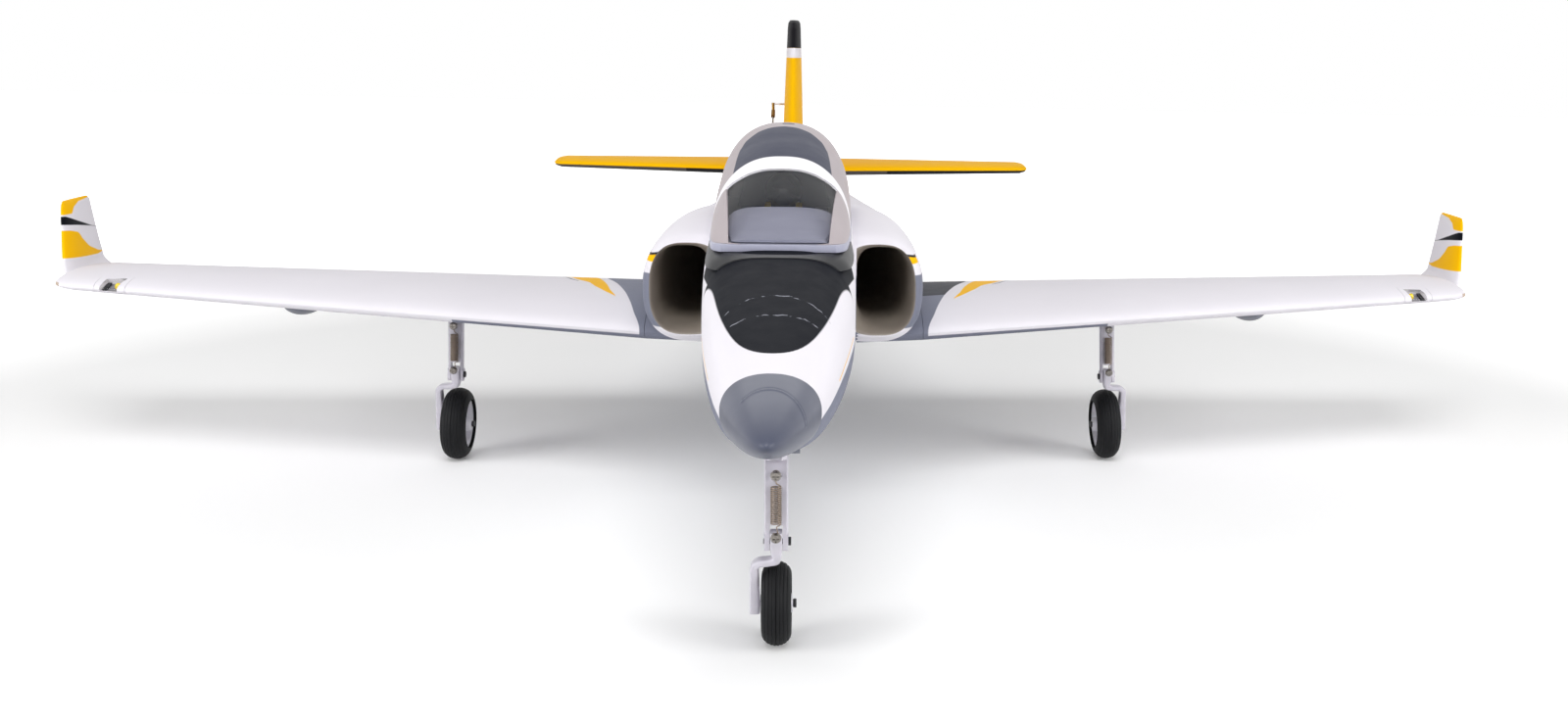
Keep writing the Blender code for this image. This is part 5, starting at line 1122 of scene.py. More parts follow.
def thrust_tube():
    start = FAN_FRONT + FAN_LENGTH + GAP
    end = BODY_END + 2
    profile = []
    for s, shift in ((start, 0.0), (end - 0.4, 0.0), (end, 0.3)):
        profile.append(point(0, s, FAN_Z + tube_radius(s) - shift))
    for s in (end, start):
        profile.append(point(0, s, FAN_Z + tube_radius(s) - TUBE_WALL))
    tube = add_mesh("thrust_tube_skin", spun(profile, 96, (0, 1, 0), point(0, 0, FAN_Z)))
    dress(tube, MATERIALS["tube"], "airframe", "tube_plastic", "thrust_tube")


# Hatch, canopy and cockpit

def canopy_angle(station, x=None, z=None):
    """The turn up a canopy station's outline at which it reaches a half-width or a height."""
    if z is not None:
        share = (z - DECK_Z) / (station.top - DECK_Z)
        return math.asin(min(1.0, max(0.0, share)) ** (station.top_power / 2))
    share = x / station.half_width
    return math.acos(min(1.0, share) ** (station.top_power / 2))


def canopy_place(s, angle, grow=0.0):
    station = station_at(CANOPY, s)
    across = math.cos(angle)
    x = (station.half_width + grow) * math.copysign(abs(across) ** (2 / station.top_power), across)
    z = (station.top - DECK_Z + grow) * math.sin(angle) ** (2 / station.top_power)
    return x, s, DECK_Z + z


def arch_s(angle):
    """Where the arch's front edge crosses the canopy at a turn of its outline."""
    low, high = 300.0, 360.0
    for _ in range(24):
        middle = (low + high) / 2
        if middle < drawn(ARCH_FRONT, canopy_place(middle, angle)[2]):
            low = middle
        else:
            high = middle
    return low


def canopy():
    start = HATCH_FRONT + 1.5
    end = HATCH_REAR - GAP
    turns = spread(0, math.pi, 0.03)
    crossings = [arch_s(angle) for angle in turns]

    def crossing(angle):
        return straight_value(turns, crossings, angle)

    def ahead(low, high):
        """A patch of the windscreen between two shares of its width."""
        def shape(turn, t):
            guess = start + t * (338.0 - start)
            station = station_at(CANOPY, guess)
            foot = canopy_angle(station, z=CANOPY_FOOT_Z)
            edge = max(foot, canopy_angle(station, x=27.2 + 0.065 * (guess - HATCH_FRONT)))
            marks = (foot, edge, math.pi - edge, math.pi - foot)
            angle = marks[low] + turn * (marks[high] - marks[low])
            s = start + t * (crossing(angle) - start)
            return point(*canopy_place(s, angle))
        return shape

    def behind(turn, t):
        guess = 320.0 + t * (end - 320.0)
        foot = canopy_angle(station_at(CANOPY, guess), z=CANOPY_FOOT_Z)
        angle = foot + turn * (math.pi - 2 * foot)
        s = crossing(angle) + t * (end - crossing(angle))
        return point(*canopy_place(s, angle))

    rows = spread(0, 1, 0.025)
    glass = add_mesh("windscreen", wall(skin(ahead(1, 2), 56, rows, closed=False), CANOPY_WALL))
    dress(glass, MATERIALS["glass"], "hatch", "clear_plastic", "canopy_glass")
    shells = (("windscreen_frame_left", ahead(0, 1), 14), ("windscreen_frame_right", ahead(2, 3), 14),
              ("canopy_shell", behind, 110))
    for name, shape, count in shells:
        marks = spread(0, 1, 0.014) if count > 20 else rows
        shell = add_mesh(name, wall(skin(shape, count, marks, closed=False), CANOPY_WALL))
        paint(shell, white=canopy_arch, dome=canopy_dome, mark=canopy_mark)
        dress(shell, MATERIALS["canopy"], "hatch", "clear_plastic")


def canopy_arch(x, s, z):
    return beyond(ARCH_FRONT, z, s) + 1.0, -beyond(ARCH_REAR, z, s)


def canopy_dome(x, s, z):
    """The dark tinted front of the rear canopy."""
    return -beyond(DOME_END, abs(x), s), beyond(ARCH_REAR, z, s)


def canopy_mark(x, s, z):
    return x + 1.5, 6.5 - x, s - 441.5, 446.5 - s


def hatch_base():
    low = DECK_Z + GAP
    high = low + HATCH_BASE_HEIGHT
    marks = spread(HATCH_FRONT + GAP, 264, 2.5) + spread(270, HATCH_REAR - GAP, 10)

    def shape(turn, s):
        half = station_at(CANOPY, s).half_width + 0.2
        corners = ((half, low), (half, high), (-half, high), (-half, low), (half, low))
        x, z = corners[round(turn * 4)]
        return point(x, s, z)

    base = add_mesh("hatch_plate", skin(shape, 4, marks))
    hole = TUB_HALF_WIDTH + GAP
    cut(base, block((-hole, TUB_FRONT - GAP, 100), (hole, TUB_REAR + GAP, REACH)))
    round_edges(base, 0.4)
    dress(base, MATERIALS["hatch"], "hatch", "black_plastic", "hatch_base")


def cockpit():
    foot = CANOPY_FOOT_Z
    tub = add_mesh("cockpit_liner", block(
        (-TUB_HALF_WIDTH, TUB_FRONT, TUB_FLOOR_Z), (TUB_HALF_WIDTH, TUB_REAR, foot + TUB_WALL)))
    flange = TUB_HALF_WIDTH + 7
    join(tub, block((-flange, TUB_FRONT - 20, foot), (flange, TUB_REAR + 8, foot + TUB_WALL)))
    inside = TUB_HALF_WIDTH - TUB_WALL
    cut(tub, block((-inside, TUB_FRONT + TUB_WALL + 8, TUB_FLOOR_Z + TUB_WALL),
                   (inside, TUB_REAR - TUB_WALL, COAMING_TOP_Z)))
    back_s = PILOT_S + 17
    join(tub, block((-11, back_s, TUB_FLOOR_Z + TUB_WALL / 2), (11, back_s + 9, foot + 20)))
    round_edges(tub, 0.6)
    dress(tub, MATERIALS["cockpit_dark"], "hatch", "cockpit_grey", "cockpit_tub")

    low = [(-31, 431), (31, 431), (31, 434), (-31, 434)]
    high = [(-21, 434), (21, 434), (21, 437), (-21, 437)]
    bulkhead = add_mesh("rear_bulkhead", prism(
        [point(x, s, foot + TUB_WALL + GAP) for x, s in low], [point(x, s, 248) for x, s in high]))
    round_edges(bulkhead, 0.8)
    dress(bulkhead, MATERIALS["cockpit"], "hatch", "cockpit_grey")

    knots = (TUB_FRONT - 44, TUB_FRONT - 18, TUB_FRONT + 8, TUB_FRONT + 36)
    halves = (26.0, 29.0, 31.0, 32.0)
    tops = (foot + 1.8, foot + 5.5, COAMING_TOP_Z - 2.5, COAMING_TOP_Z)
    rings = []
    for s in spread(knots[0], knots[-1], 3):
        half = curve_value(knots, halves, s)
        top = curve_value(knots, tops, s)
        station = Station(s, 0, half, top, foot + GAP, foot + GAP + 0.01, 3.4, 3.4)
        rings.append((s, *outline(station, 48)))
    coaming = add_mesh("coaming", ring_skin(rings))
    dress(coaming, MATERIALS["cockpit"], "hatch", "cockpit_grey")


def pilot_girth(z):
    """Half the width and half the depth of the pilot's chest at height z."""
    return curve_value(PILOT_KNOTS, PILOT_HALF_WIDTHS, z), curve_value(PILOT_KNOTS, PILOT_HALF_DEPTHS, z)


def torso_place(turn, z):
    angle = 2 * math.pi * turn
    wide, deep = pilot_girth(z)
    fold = 1 + 0.025 * math.sin(5 * angle + z)
    return point(wide * fold * math.cos(angle), PILOT_S + deep * fold * math.sin(angle), z)


def harness_place(turn, z, side):
    """A strap down the pilot's chest from the shoulder."""
    wide, deep = pilot_girth(z)
    angle = -math.pi / 2 + side * (0.42 + 0.30 * turn)
    return point((wide + 0.5) * math.cos(angle), PILOT_S + (deep + 0.5) * math.sin(angle), z)


def pilot():
    """A helmeted doll, cut off at the waist, with a dark visor and yellow straps."""
    shoulder = PILOT_SHOULDER_Z
    torso = add_mesh("pilot_body", skin(torso_place, 48, spread(PILOT_FLOOR_Z, shoulder, 0.8)))
    dress(torso, MATERIALS["suit"], "hatch", "suit_green", "pilot_torso")
    helmet_z = shoulder + GAP + HELMET_RADIUS
    middle = point(0, PILOT_S, helmet_z)
    shell = add_mesh("pilot_helmet_shell", ball(middle, HELMET_RADIUS, HELMET_STRETCH, 48))
    dress(shell, MATERIALS["helmet"], "hatch", "black_plastic", "pilot_helmet")
    visor = add_mesh("pilot_visor", ball(middle, HELMET_RADIUS + 0.35, HELMET_STRETCH, 48))
    keep(visor, block((-10.5, PILOT_S - 20, helmet_z - 8.0), (10.5, PILOT_S - 4.0, helmet_z + 3.0)))
    dress(visor, MATERIALS["visor"], "hatch", "black_plastic")
    marks = spread(PILOT_FLOOR_Z + 3, shoulder - 2, 0.8)
    for name, side in SIDES:
        strap_bm = skin(lambda turn, z, side=side: harness_place(turn, z, side), 6, marks, closed=False)
        strap = add_mesh(name + "_harness", wall(strap_bm, 0.7))
        dress(strap, MATERIALS["harness"], "hatch", "suit_green")
        pad = add_mesh(name + "_shoulder_pad", block(
            (side * 7.8, PILOT_S - 10.5, shoulder - 6.0), (side * 12.0, PILOT_S - 5.5, shoulder + 6.2)))
        round_edges(pad, 1.4, 4)
        dress(pad, MATERIALS["harness"], "hatch", "suit_green")


# Wing and control surfaces

def wing_at(x):
    """Leading edge, trailing edge, height and thickness of the wing at x."""
    t = (x - WING_ROOT_X) / (WING_TIP_X - WING_ROOT_X)
    lead = WING_ROOT_LEAD + t * (WING_TIP_LEAD - WING_ROOT_LEAD)
    trail = WING_ROOT_TRAIL + t * (WING_TIP_TRAIL - WING_ROOT_TRAIL)
    height = WING_ROOT_Z + t * (WING_TIP_Z - WING_ROOT_Z)
    thick = WING_ROOT_THICKNESS + t * (WING_TIP_THICKNESS - WING_ROOT_THICKNESS)
    return lead, trail, height, thick


def wing_skin(x, s, upper=True):
    """The height of the wing's upper or lower skin at x and s."""
    lead, trail, height, thick = wing_at(x)
    u = (s - lead) / (trail - lead)
    half = foil_half(u, thick)
    bow = 4 * WING_CAMBER * (trail - lead) * u * (1 - u)
    return height + bow + (half if upper else -half)


def wing_form(side):
    """The whole wing panel with its rounded, raked tip."""
    tips = (WING_TIP_X, WING_TIP_X + 9, WING_TIP_X + 15, WING_TIP_X + 18)
    rows = []
    marks = spread(WING_ROOT_X + GAP, 250, 4) + spread(258, WING_TIP_X, 8)
    for x in marks + spread(WING_TIP_X + 2, WING_TIP_X + 18, 1.5):
        lead, trail, height, thick = wing_at(x)
        rows.append((
            (x, height), lead + curve_value(tips, (0.0, 3.0, 8.0, 15.0), x),
            trail - curve_value(tips, (0.0, 0.0, 0.5, 1.0), x),
            thick * curve_value(tips, (1.0, 0.94, 0.78, 0.5), x), WING_CAMBER))
    return foil_skin(rows, lambda where, s, h: point(side * where[0], s, where[1] + h))


def winglet_form(side):
    """The upturned tip, which leans out and back and fairs into the wing in a soft fillet."""
    ups = (-0.07, 0.03, 0.13, 0.25, 0.6, 0.95, 1.0)
    inwards = (21.0, 13.0, WINGLET_LEAN, WINGLET_LEAN * 0.8, WINGLET_LEAN * 0.4, WINGLET_LEAN * 0.05, 0.0)
    leads = (578.0, 581.0, 585.0, 589.0, 600.0, 611.0, 615.0)
    trails = (664.0, 665.0, 666.0, 667.0, 667.0, 667.0, 664.0)
    thicks = (10.5, 10.0, 9.4, 8.6, 7.0, 5.2, 3.0)
    rise = WINGLET_TOP_Z - WING_TIP_Z
    rows = []
    for up in spread(-0.07, 0.2, 0.018) + spread(0.23, 0.95, 0.04) + [0.97, 0.985, 1.0]:
        trail = curve_value(ups, trails, up)
        edge = SPAN / 2 - EDGE_THICKNESS / 2 - curve_value(ups, inwards, up)
        rows.append(((edge, trail, WING_TIP_Z + up * rise), curve_value(ups, leads, up), trail,
                     curve_value(ups, thicks, up), 0.0))

    def put(where, s, h):
        edge, trail, z = where
        return point(side * (edge + h - WINGLET_TOE * (trail - s)), s, z)

    return foil_skin(rows, put)


def hinge_prism(side, inner_x, outer_x, slant):
    """Everything behind a top-hinged surface's slanted front face."""
    ends = []
    for x in (inner_x, outer_x):
        top = wing_skin(x, WING_HINGE_S)
        lean = math.tan(slant)
        front = WING_HINGE_S + HINGE_GAP / 2
        ends.append([point(side * x, s, z) for s, z in (
            (front - 12 * lean, top + 12), (WING_ROOT_TRAIL + 40, top + 12),
            (WING_ROOT_TRAIL + 40, top - 40), (front + 40 * lean, top - 40))])
    return prism(*ends)


def surface_bay(side, inner_x, outer_x):
    front = WING_HINGE_S - HINGE_GAP / 2
    return block((side * inner_x, front, WING_ROOT_Z - 60),
                 (side * outer_x, WING_ROOT_TRAIL + 40, WING_TIP_Z + 60))


def main_well(side):
    """Room in the wing's underside for the leg, the wheel and the retract unit."""
    x, s, z = MAIN_PIVOT
    wheel_x = x - (z - MAIN_WHEEL_RADIUS)
    ceiling = z + MAIN_TYRE_WIDTH / 2 + 0.5
    wheel_s = s + TRAIL + 3.5
    well = bar(point(side * wheel_x, wheel_s, z - 60), point(side * wheel_x, wheel_s, ceiling),
               MAIN_WHEEL_RADIUS + 6, 64)
    channel = block((side * wheel_x, s - 14, z - 60), (side * x, s + 16, z + MAIN_STRUT_RADIUS + 3))
    half = TRUNNION_HALF_LENGTH + 2 * GAP + CHEEK_THICKNESS
    pocket = block((side * (x - 11), s - half, z - 60), (side * (x + 42.3), s + half, z + 9.8))
    return well, channel, pocket


def wing_layers(obj):
    paint(obj, slate=wing_slate, under=wing_under, charcoal=wing_charcoal, swoosh=wing_swoosh,
          stripe=wing_stripe, cap=winglet_cap, band=winglet_band, wedge=winglet_wedge, rub=tip_rub)


def wing_slate(x, s, z):
    """The grey root."""
    return (-beyond(ROOT_EDGE, s, abs(x)),)


def over_wing(x, z):
    """How far a place lies above the wing's middle."""
    return z - wing_at(min(abs(x), WING_TIP_X))[2]


def wing_under(x, s, z):
    """The grey underside, out to its own slanted edge."""
    return -2.2 - over_wing(x, z), 235 + 0.15 * (s - 500) - abs(x)


def wing_charcoal(x, s, z):
    """A darker patch at the rear of the grey root, reaching further forward on the left wing."""
    wide = abs(x)
    root = -beyond(ROOT_EDGE, s, wide)
    if x > 0:
        return root, s - 523 - 0.3 * (wide - 110), FAR_INSIDE
    return root, s - 590, 112 + 0.1 * (s - 590) - wide


def wing_swoosh(x, s, z):
    """The yellow swoosh across the wing root."""
    wide = abs(x)
    return beyond(SWOOSH_INNER, s, wide), -beyond(SWOOSH_OUTER, s, wide), over_wing(x, z) - 1


def wing_stripe(x, s, z):
    """A thin dark line beside the swoosh."""
    off = beyond(SWOOSH_OUTER, s, abs(x)) - STRIPE_OFFSET
    return STRIPE_HALF + off, STRIPE_HALF - off, s - STRIPE_FRONT_S, over_wing(x, z) - 1


def winglet_cap(x, s, z):
    return beyond(WINGLET_CAP, s, z), abs(x) - WINGLET_INNER_X


def winglet_band(x, s, z):
    return -beyond(WINGLET_BAND_TOP, s, z), beyond(WINGLET_BAND_LOW, s, z), abs(x) - WINGLET_INNER_X


def winglet_wedge(x, s, z):
    return -beyond(WINGLET_WEDGE_TOP, s, z), beyond(WINGLET_WEDGE_LOW, s, z), abs(x) - WINGLET_INNER_X


def tip_rub(x, s, z):
    """The rubbed edge at the front of the tip."""
    return abs(x) - 527 - 0.02 * (s - 580), TIP_RUB_TOP_Z - z, TIP_RUB_REAR_S - s


def wings():
    for name, side in SIDES:
        panel = add_mesh(name + "_wing_skin", wing_form(side))
        join(panel, winglet_form(side))
        cut(panel, surface_bay(side, FLAP_INNER_X, FLAP_OUTER_X),
            surface_bay(side, AILERON_INNER_X, AILERON_OUTER_X))
        cut(panel, *main_well(side))
        tip_light(name, side, panel)
        wing_layers(panel)
        dress(panel, MATERIALS["wing"], "airframe", "white_foam", name + "_wing")
        flap = hinged_surface(name + "_flap_skin", side, FLAP_INNER_X, FLAP_OUTER_X, FLAP_SLANT)
        dress(flap, MATERIALS["wing"], name + "_flap", "white_foam", name + "_flap")
        aileron = hinged_surface(name + "_aileron_skin", side, AILERON_INNER_X, AILERON_OUTER_X,
                                 AILERON_SLANT)
        dress(aileron, MATERIALS["wing"], name + "_aileron", "white_foam", name + "_aileron")
        aileron_linkage(name, side)


def hinged_surface(name, side, inner_x, outer_x, slant):
    surface = add_mesh(name, wing_form(side))
    keep(surface, hinge_prism(side, inner_x + SURFACE_END_GAP, outer_x - SURFACE_END_GAP, slant))
    wing_layers(surface)
    return surface


def tip_light(name, side, panel):
    """A landing light let into the leading edge: white frame, clear cover, reflector and diode."""
    middle = (LIGHT_INNER_X + LIGHT_OUTER_X) / 2
    lead, _, height, _ = wing_at(middle)
    floor = height - 3.0
    back = lead + LIGHT_DEPTH
    cut(panel, block((side * LIGHT_INNER_X, lead - 20, floor), (side * LIGHT_OUTER_X, back, height + 40)))
    cover = add_mesh(name + "_light_frame", wing_form(side))
    keep(cover, block((side * (LIGHT_INNER_X + GAP), lead - 20, floor + GAP),
                      (side * (LIGHT_OUTER_X - GAP), back - GAP, height + 40)))
    corners = [(x, lead - 10) for x in LENS_FRONT_XS] + [(x, back - 3.5) for x in LENS_REAR_XS]

    def column(low):
        return prism(*[[point(side * x, s, z) for x, s in corners] for z in (low, height + 30)])

    cut(cover, column(floor + 1.6))
    wing_layers(cover)
    dress(cover, MATERIALS["wing"], "airframe", "clear_plastic", name + "_light_cover")
    lens = add_mesh(name + "_light_lens", wing_form(side))
    keep(lens, column(floor + 1.8))
    cut(lens, block((side * (LIGHT_INNER_X - 4), lead + 1.6, floor - 5),
                    (side * (LIGHT_OUTER_X + 2), back + 4, height + 4.2)))
    dress(lens, MATERIALS["lens"], "airframe", "clear_plastic")
    slope = ((lead + 3.5, floor + 1.8), (back - 3.7, floor + 1.8), (back - 3.7, height + 2.5))
    dish = add_mesh(name + "_light_reflector", prism(
        *[[point(side * x, s, z) for s, z in slope] for x in REFLECTOR_XS]))
    round_edges(dish, 0.25)
    dress(dish, MATERIALS["reflector"], "airframe", "grey_alloy")
    # Painted shade: a black block stands in for the shadow at the outboard side of the light bay.
    shadow = add_mesh(name + "_light_painted_shade", prism(
        *[[point(side * x, s + 0.5, z + 0.8) for s, z in slope] for x in BAY_SHADE_XS]))
    round_edges(shadow, 0.25)
    dress(shadow, MATERIALS["black"], "airframe", "black_plastic")
    spot = point(side * DIODE_X, lead + 8.0, height + 0.8)
    lamp = add_mesh(name + "_light_diode", ball(spot, DIODE_RADIUS, DIODE_STRETCH, 24))
    dress(lamp, MATERIALS["lamp"], "airframe", "lamp_yellow", name + "_lamp")


def aileron_linkage(name, side):
    x = AILERON_HORN_X
    horn_s = WING_HINGE_S + 1
    under = wing_skin(x, horn_s + 12, upper=False)
    hole_z = under - HORN_DROP + 3
    outline_places = ((horn_s - 3, hole_z - 3), (horn_s + 3, hole_z - 3), (horn_s + 19, under + 3),
                      (horn_s + 10, under + 3))
    horn_ends = [[point(side * edge, s, z) for s, z in outline_places]
                 for edge in (x - HORN_THICKNESS / 2, x + HORN_THICKNESS / 2)]
    horn = add_mesh(name + "_aileron_horn", prism(*horn_ends))
    round_edges(horn, 0.4)
    dress(horn, MATERIALS["hub"], name + "_aileron", "hub_plastic")
    rod_x = x + HORN_THICKNESS / 2 + GAP + ROD_RADIUS
    rod_ends = [point(side * rod_x, s, hole_z) for s in (FAIRING_S + 4, horn_s + 3)]
    push = add_mesh(name + "_aileron_wire", bar(*rod_ends, ROD_RADIUS, 16))
    dress(push, MATERIALS["steel"], name + "_aileron_pushrod", "spring_steel", name + "_aileron_pushrod")
    middle_z = wing_skin(x, FAIRING_S, upper=False) + 1.0

    def shape(turn, run):
        angle = math.pi * run
        size = max(0.0, math.sin(angle)) ** 0.7
        a = 2 * math.pi * turn
        tall = (middle_z - FAIRING_LOW_Z) if math.sin(a) < 0 else 3.0
        s = FAIRING_S - FAIRING_HALF_LENGTH * math.cos(angle)
        return point(side * (x + FAIRING_HALF_WIDTH * size * math.cos(a)), s,
                     middle_z + tall * size * math.sin(a))

    fairing = add_mesh(name + "_fairing", skin(shape, 48, spread(0.02, 0.98, 0.02)))
    hole = bar(point(side * rod_x, FAIRING_S - 6, hole_z), point(side * rod_x, horn_s + 20, hole_z),
               ROD_RADIUS + 0.5, 16)
    cut(fairing, hole)
    dress(fairing, MATERIALS["fairing"], "airframe", "grey_paint", name + "_servo_fairing")


# Tail

def stab_form(side):
    xs = (STAB_ROOT_X, STAB_HALF_SPAN - 8, STAB_HALF_SPAN - 2.5, STAB_HALF_SPAN)
    leads = (STAB_ROOT_LEAD, STAB_TIP_LEAD, STAB_TIP_LEAD + 7, STAB_TIP_LEAD + 18)
    trails = (STAB_ROOT_TRAIL, STAB_TIP_TRAIL, STAB_TIP_TRAIL - 1, STAB_TIP_TRAIL - 4)
    depths = (STAB_ROOT_THICKNESS, STAB_TIP_THICKNESS, STAB_TIP_THICKNESS * 0.75, STAB_TIP_THICKNESS * 0.35)
    marks = spread(STAB_ROOT_X, STAB_HALF_SPAN - 8, 6) + spread(STAB_HALF_SPAN - 7, STAB_HALF_SPAN, 0.8)
    rows = [(x, *(straight_value(xs, values, x) for values in (leads, trails, depths)), 0.0) for x in marks]
    return foil_skin(rows, lambda x, s, h: point(side * x, s, STAB_Z + h))


def stabilisers():
    lean = 20 * math.tan(TAIL_V_SLANT)
    front = ELEVATOR_HINGE_S + HINGE_GAP / 2
    for name, side in SIDES:
        plane = add_mesh(name + "_stabiliser_skin", stab_form(side))
        cut(plane, block((side * ELEVATOR_INNER_X, ELEVATOR_HINGE_S - HINGE_GAP / 2, STAB_Z - 40),
                         (side * ELEVATOR_OUTER_X, STAB_ROOT_TRAIL + 40, STAB_Z + 40)))
        ends = []
        for x in (ELEVATOR_INNER_X + SURFACE_END_GAP / 2, ELEVATOR_OUTER_X - SURFACE_END_GAP / 2):
            ends.append([point(side * x, s, STAB_Z + z) for s, z in (
                (front, 0), (front + lean, 20), (STAB_ROOT_TRAIL + 40, 20), (STAB_ROOT_TRAIL + 40, -20),
                (front + lean, -20))])
        elevator = add_mesh(name + "_elevator_skin", stab_form(side))
        keep(elevator, prism(*ends))
        pieces = ((plane, "airframe", name + "_stabiliser"),
                  (elevator, name + "_elevator", name + "_elevator"))
        for piece, body, node in pieces:
            paint(piece, white=no_paint, charcoal=stab_under, black=stab_black)
            dress(piece, MATERIALS["tail"], body, "yellow_paint", node)


def stab_under(x, s, z):
    return (STAB_UNDER_Z - z,)


def stab_black(x, s, z):
    return STAB_UNDER_Z - z, (x - STAB_BLACK_LEFT_X if x > 0 else STAB_BLACK_RIGHT_X + x)


def fin_form():
    top = FIN_TOP_Z - 8
    zs = (FIN_ROOT_Z, top, FIN_TOP_Z - 2.5, FIN_TOP_Z)
    leads = (FIN_ROOT_LEAD, FIN_TIP_LEAD - 9, FIN_TIP_LEAD, FIN_TIP_LEAD + 10)
    trails = (FIN_ROOT_TRAIL, LENGTH - 1, LENGTH, LENGTH - 2)
    depths = (FIN_ROOT_THICKNESS, FIN_TIP_THICKNESS, FIN_TIP_THICKNESS * 0.92, FIN_TIP_THICKNESS * 0.7)
    marks = spread(FIN_ROOT_Z, top, 2.5) + spread(top + 0.8, FIN_TOP_Z, 0.8)
    rows = [(z, *(straight_value(zs, values, z) for values in (leads, trails, depths)), 0.0) for z in marks]
    return foil_skin(rows, lambda z, s, h: point(h, s, z))


def rudder_hinge(z):
    """Where the rudder's swept hinge line stands at height z."""
    share = (z - RUDDER_LOW_Z) / (FIN_TOP_Z - RUDDER_LOW_Z)
    return RUDDER_HINGE_LOW_S + share * (RUDDER_HINGE_TOP_S - RUDDER_HINGE_LOW_S)


def rudder_horn_s():
    return rudder_hinge(RUDDER_HORN_Z) + 3


def fin_and_rudder():
    lean = 20 * math.tan(TAIL_V_SLANT)
    fin = add_mesh("fin_skin", fin_form())
    bay = []
    blade = []
    for z in (RUDDER_LOW_Z, FIN_TOP_Z + 10):
        front = rudder_hinge(z) - HINGE_GAP / 2
        bay.append(
            [point(x, s, z) for x, s in ((-40, front), (40, front), (40, LENGTH + 40), (-40, LENGTH + 40))])
    for z in (RUDDER_LOW_Z + SURFACE_END_GAP / 2, FIN_TOP_Z + 10):
        front = rudder_hinge(z) + HINGE_GAP / 2
        blade.append([point(x, s, z) for x, s in (
            (0, front), (20, front + lean), (20, LENGTH + 40), (-20, LENGTH + 40), (-20, front + lean))])
    cut(fin, prism(*bay),
        block((-40, RUDDER_HINGE_LOW_S + 32, FIN_ROOT_Z - 20), (40, LENGTH + 40, RUDDER_LOW_Z + 1)))
    rudder = add_mesh("rudder_skin", fin_form())
    keep(rudder, prism(*blade))
    for piece, body, node in ((fin, "airframe", "fin"), (rudder, "rudder", "rudder")):
        paint(piece, white=fin_white, charcoal=no_paint, black=fin_black)
        dress(piece, MATERIALS["tail"], body, "yellow_paint", node)
    rudder_linkage()


def fin_white(x, s, z):
    return z - FIN_WHITE_LOW_Z, FIN_WHITE_TOP_Z - z


def fin_black(x, s, z):
    return z - FIN_WHITE_TOP_Z, FAR_INSIDE


def rudder_linkage():
    horn_s = rudder_horn_s()
    low = RUDDER_HORN_Z - 1
    high = RUDDER_HORN_Z + 1
    tip = -RUDDER_HORN_REACH + LINK_STUD_RADIUS + LINK_GAP
    places = ((-1.0, horn_s + 6), (-1.0, horn_s + 16), (-9, horn_s + 12), (tip, horn_s + 1.8),
              (tip, horn_s - 1.8), (tip + 5, horn_s - 3), (-9, horn_s + 3))
    horn = add_mesh("rudder_horn", prism(*[[point(x, s, z) for x, s in places] for z in (low, high)]))
    round_edges(horn, 0.35)
    dress(horn, MATERIALS["hub"], "rudder", "hub_plastic")
    stud_top = point(-RUDDER_HORN_REACH, horn_s, high + 0.5)
    knuckle = stud_top - local(0, 0, 9)
    run = local(0, -math.cos(PUSHROD_DROP), -math.sin(PUSHROD_DROP))
    far = knuckle + run * PUSHROD_LENGTH
    push = add_mesh("rudder_wire", bar(knuckle - run * 2, far, ROD_RADIUS, 16))
    dress(push, MATERIALS["steel"], "rudder_pushrod", "spring_steel", "rudder_pushrod")
    link = add_mesh("rudder_link", bar(knuckle - local(0, 0, 2), stud_top, LINK_STUD_RADIUS, 24))
    join(link, bar(knuckle + run * 12, knuckle - run * 1, 2.2, 24))
    round_edges(link, 0.3)
    dress(link, MATERIALS["brass"], "rudder_pushrod", "spring_steel")


# Landing gear

def screw(name, body, matrix, z):
    """A cross-recess screw head on its shank, facing forwards from a strut's flat."""
    forwards = Vector((0, -1, 0))
    place = local(0, -STRUT_FLAT - SCREW_REACH, z)
    outer = place + forwards * SCREW_HEAD_HEIGHT * MM
    head = add_mesh(name, bar(place, outer, SCREW_HEAD_RADIUS, 32, SCREW_HEAD_RADIUS * 0.72))
    side = Vector((1, 0, 0))
    across = forwards.cross(side).normalized()
    for lead, other in ((side, across), (across, side)):
        corners = []
        for depth in (-1.1, 0.5):
            ring = []
            for a, b in ((-1, -1), (1, -1), (1, 1), (-1, 1)):
                ring.append(outer + forwards * depth * MM + lead * a * 1.7 * MM + other * b * 0.38 * MM)
            corners.append(ring)
        cut(head, prism(*corners))
    join(head, bar(place - forwards * 8.5 * MM, place + forwards * 0.2 * MM, SCREW_SHANK_RADIUS, 20))
    head.data.transform(matrix)
    soften(head)
    dress(head, MATERIALS["steel"], body, "spring_steel")


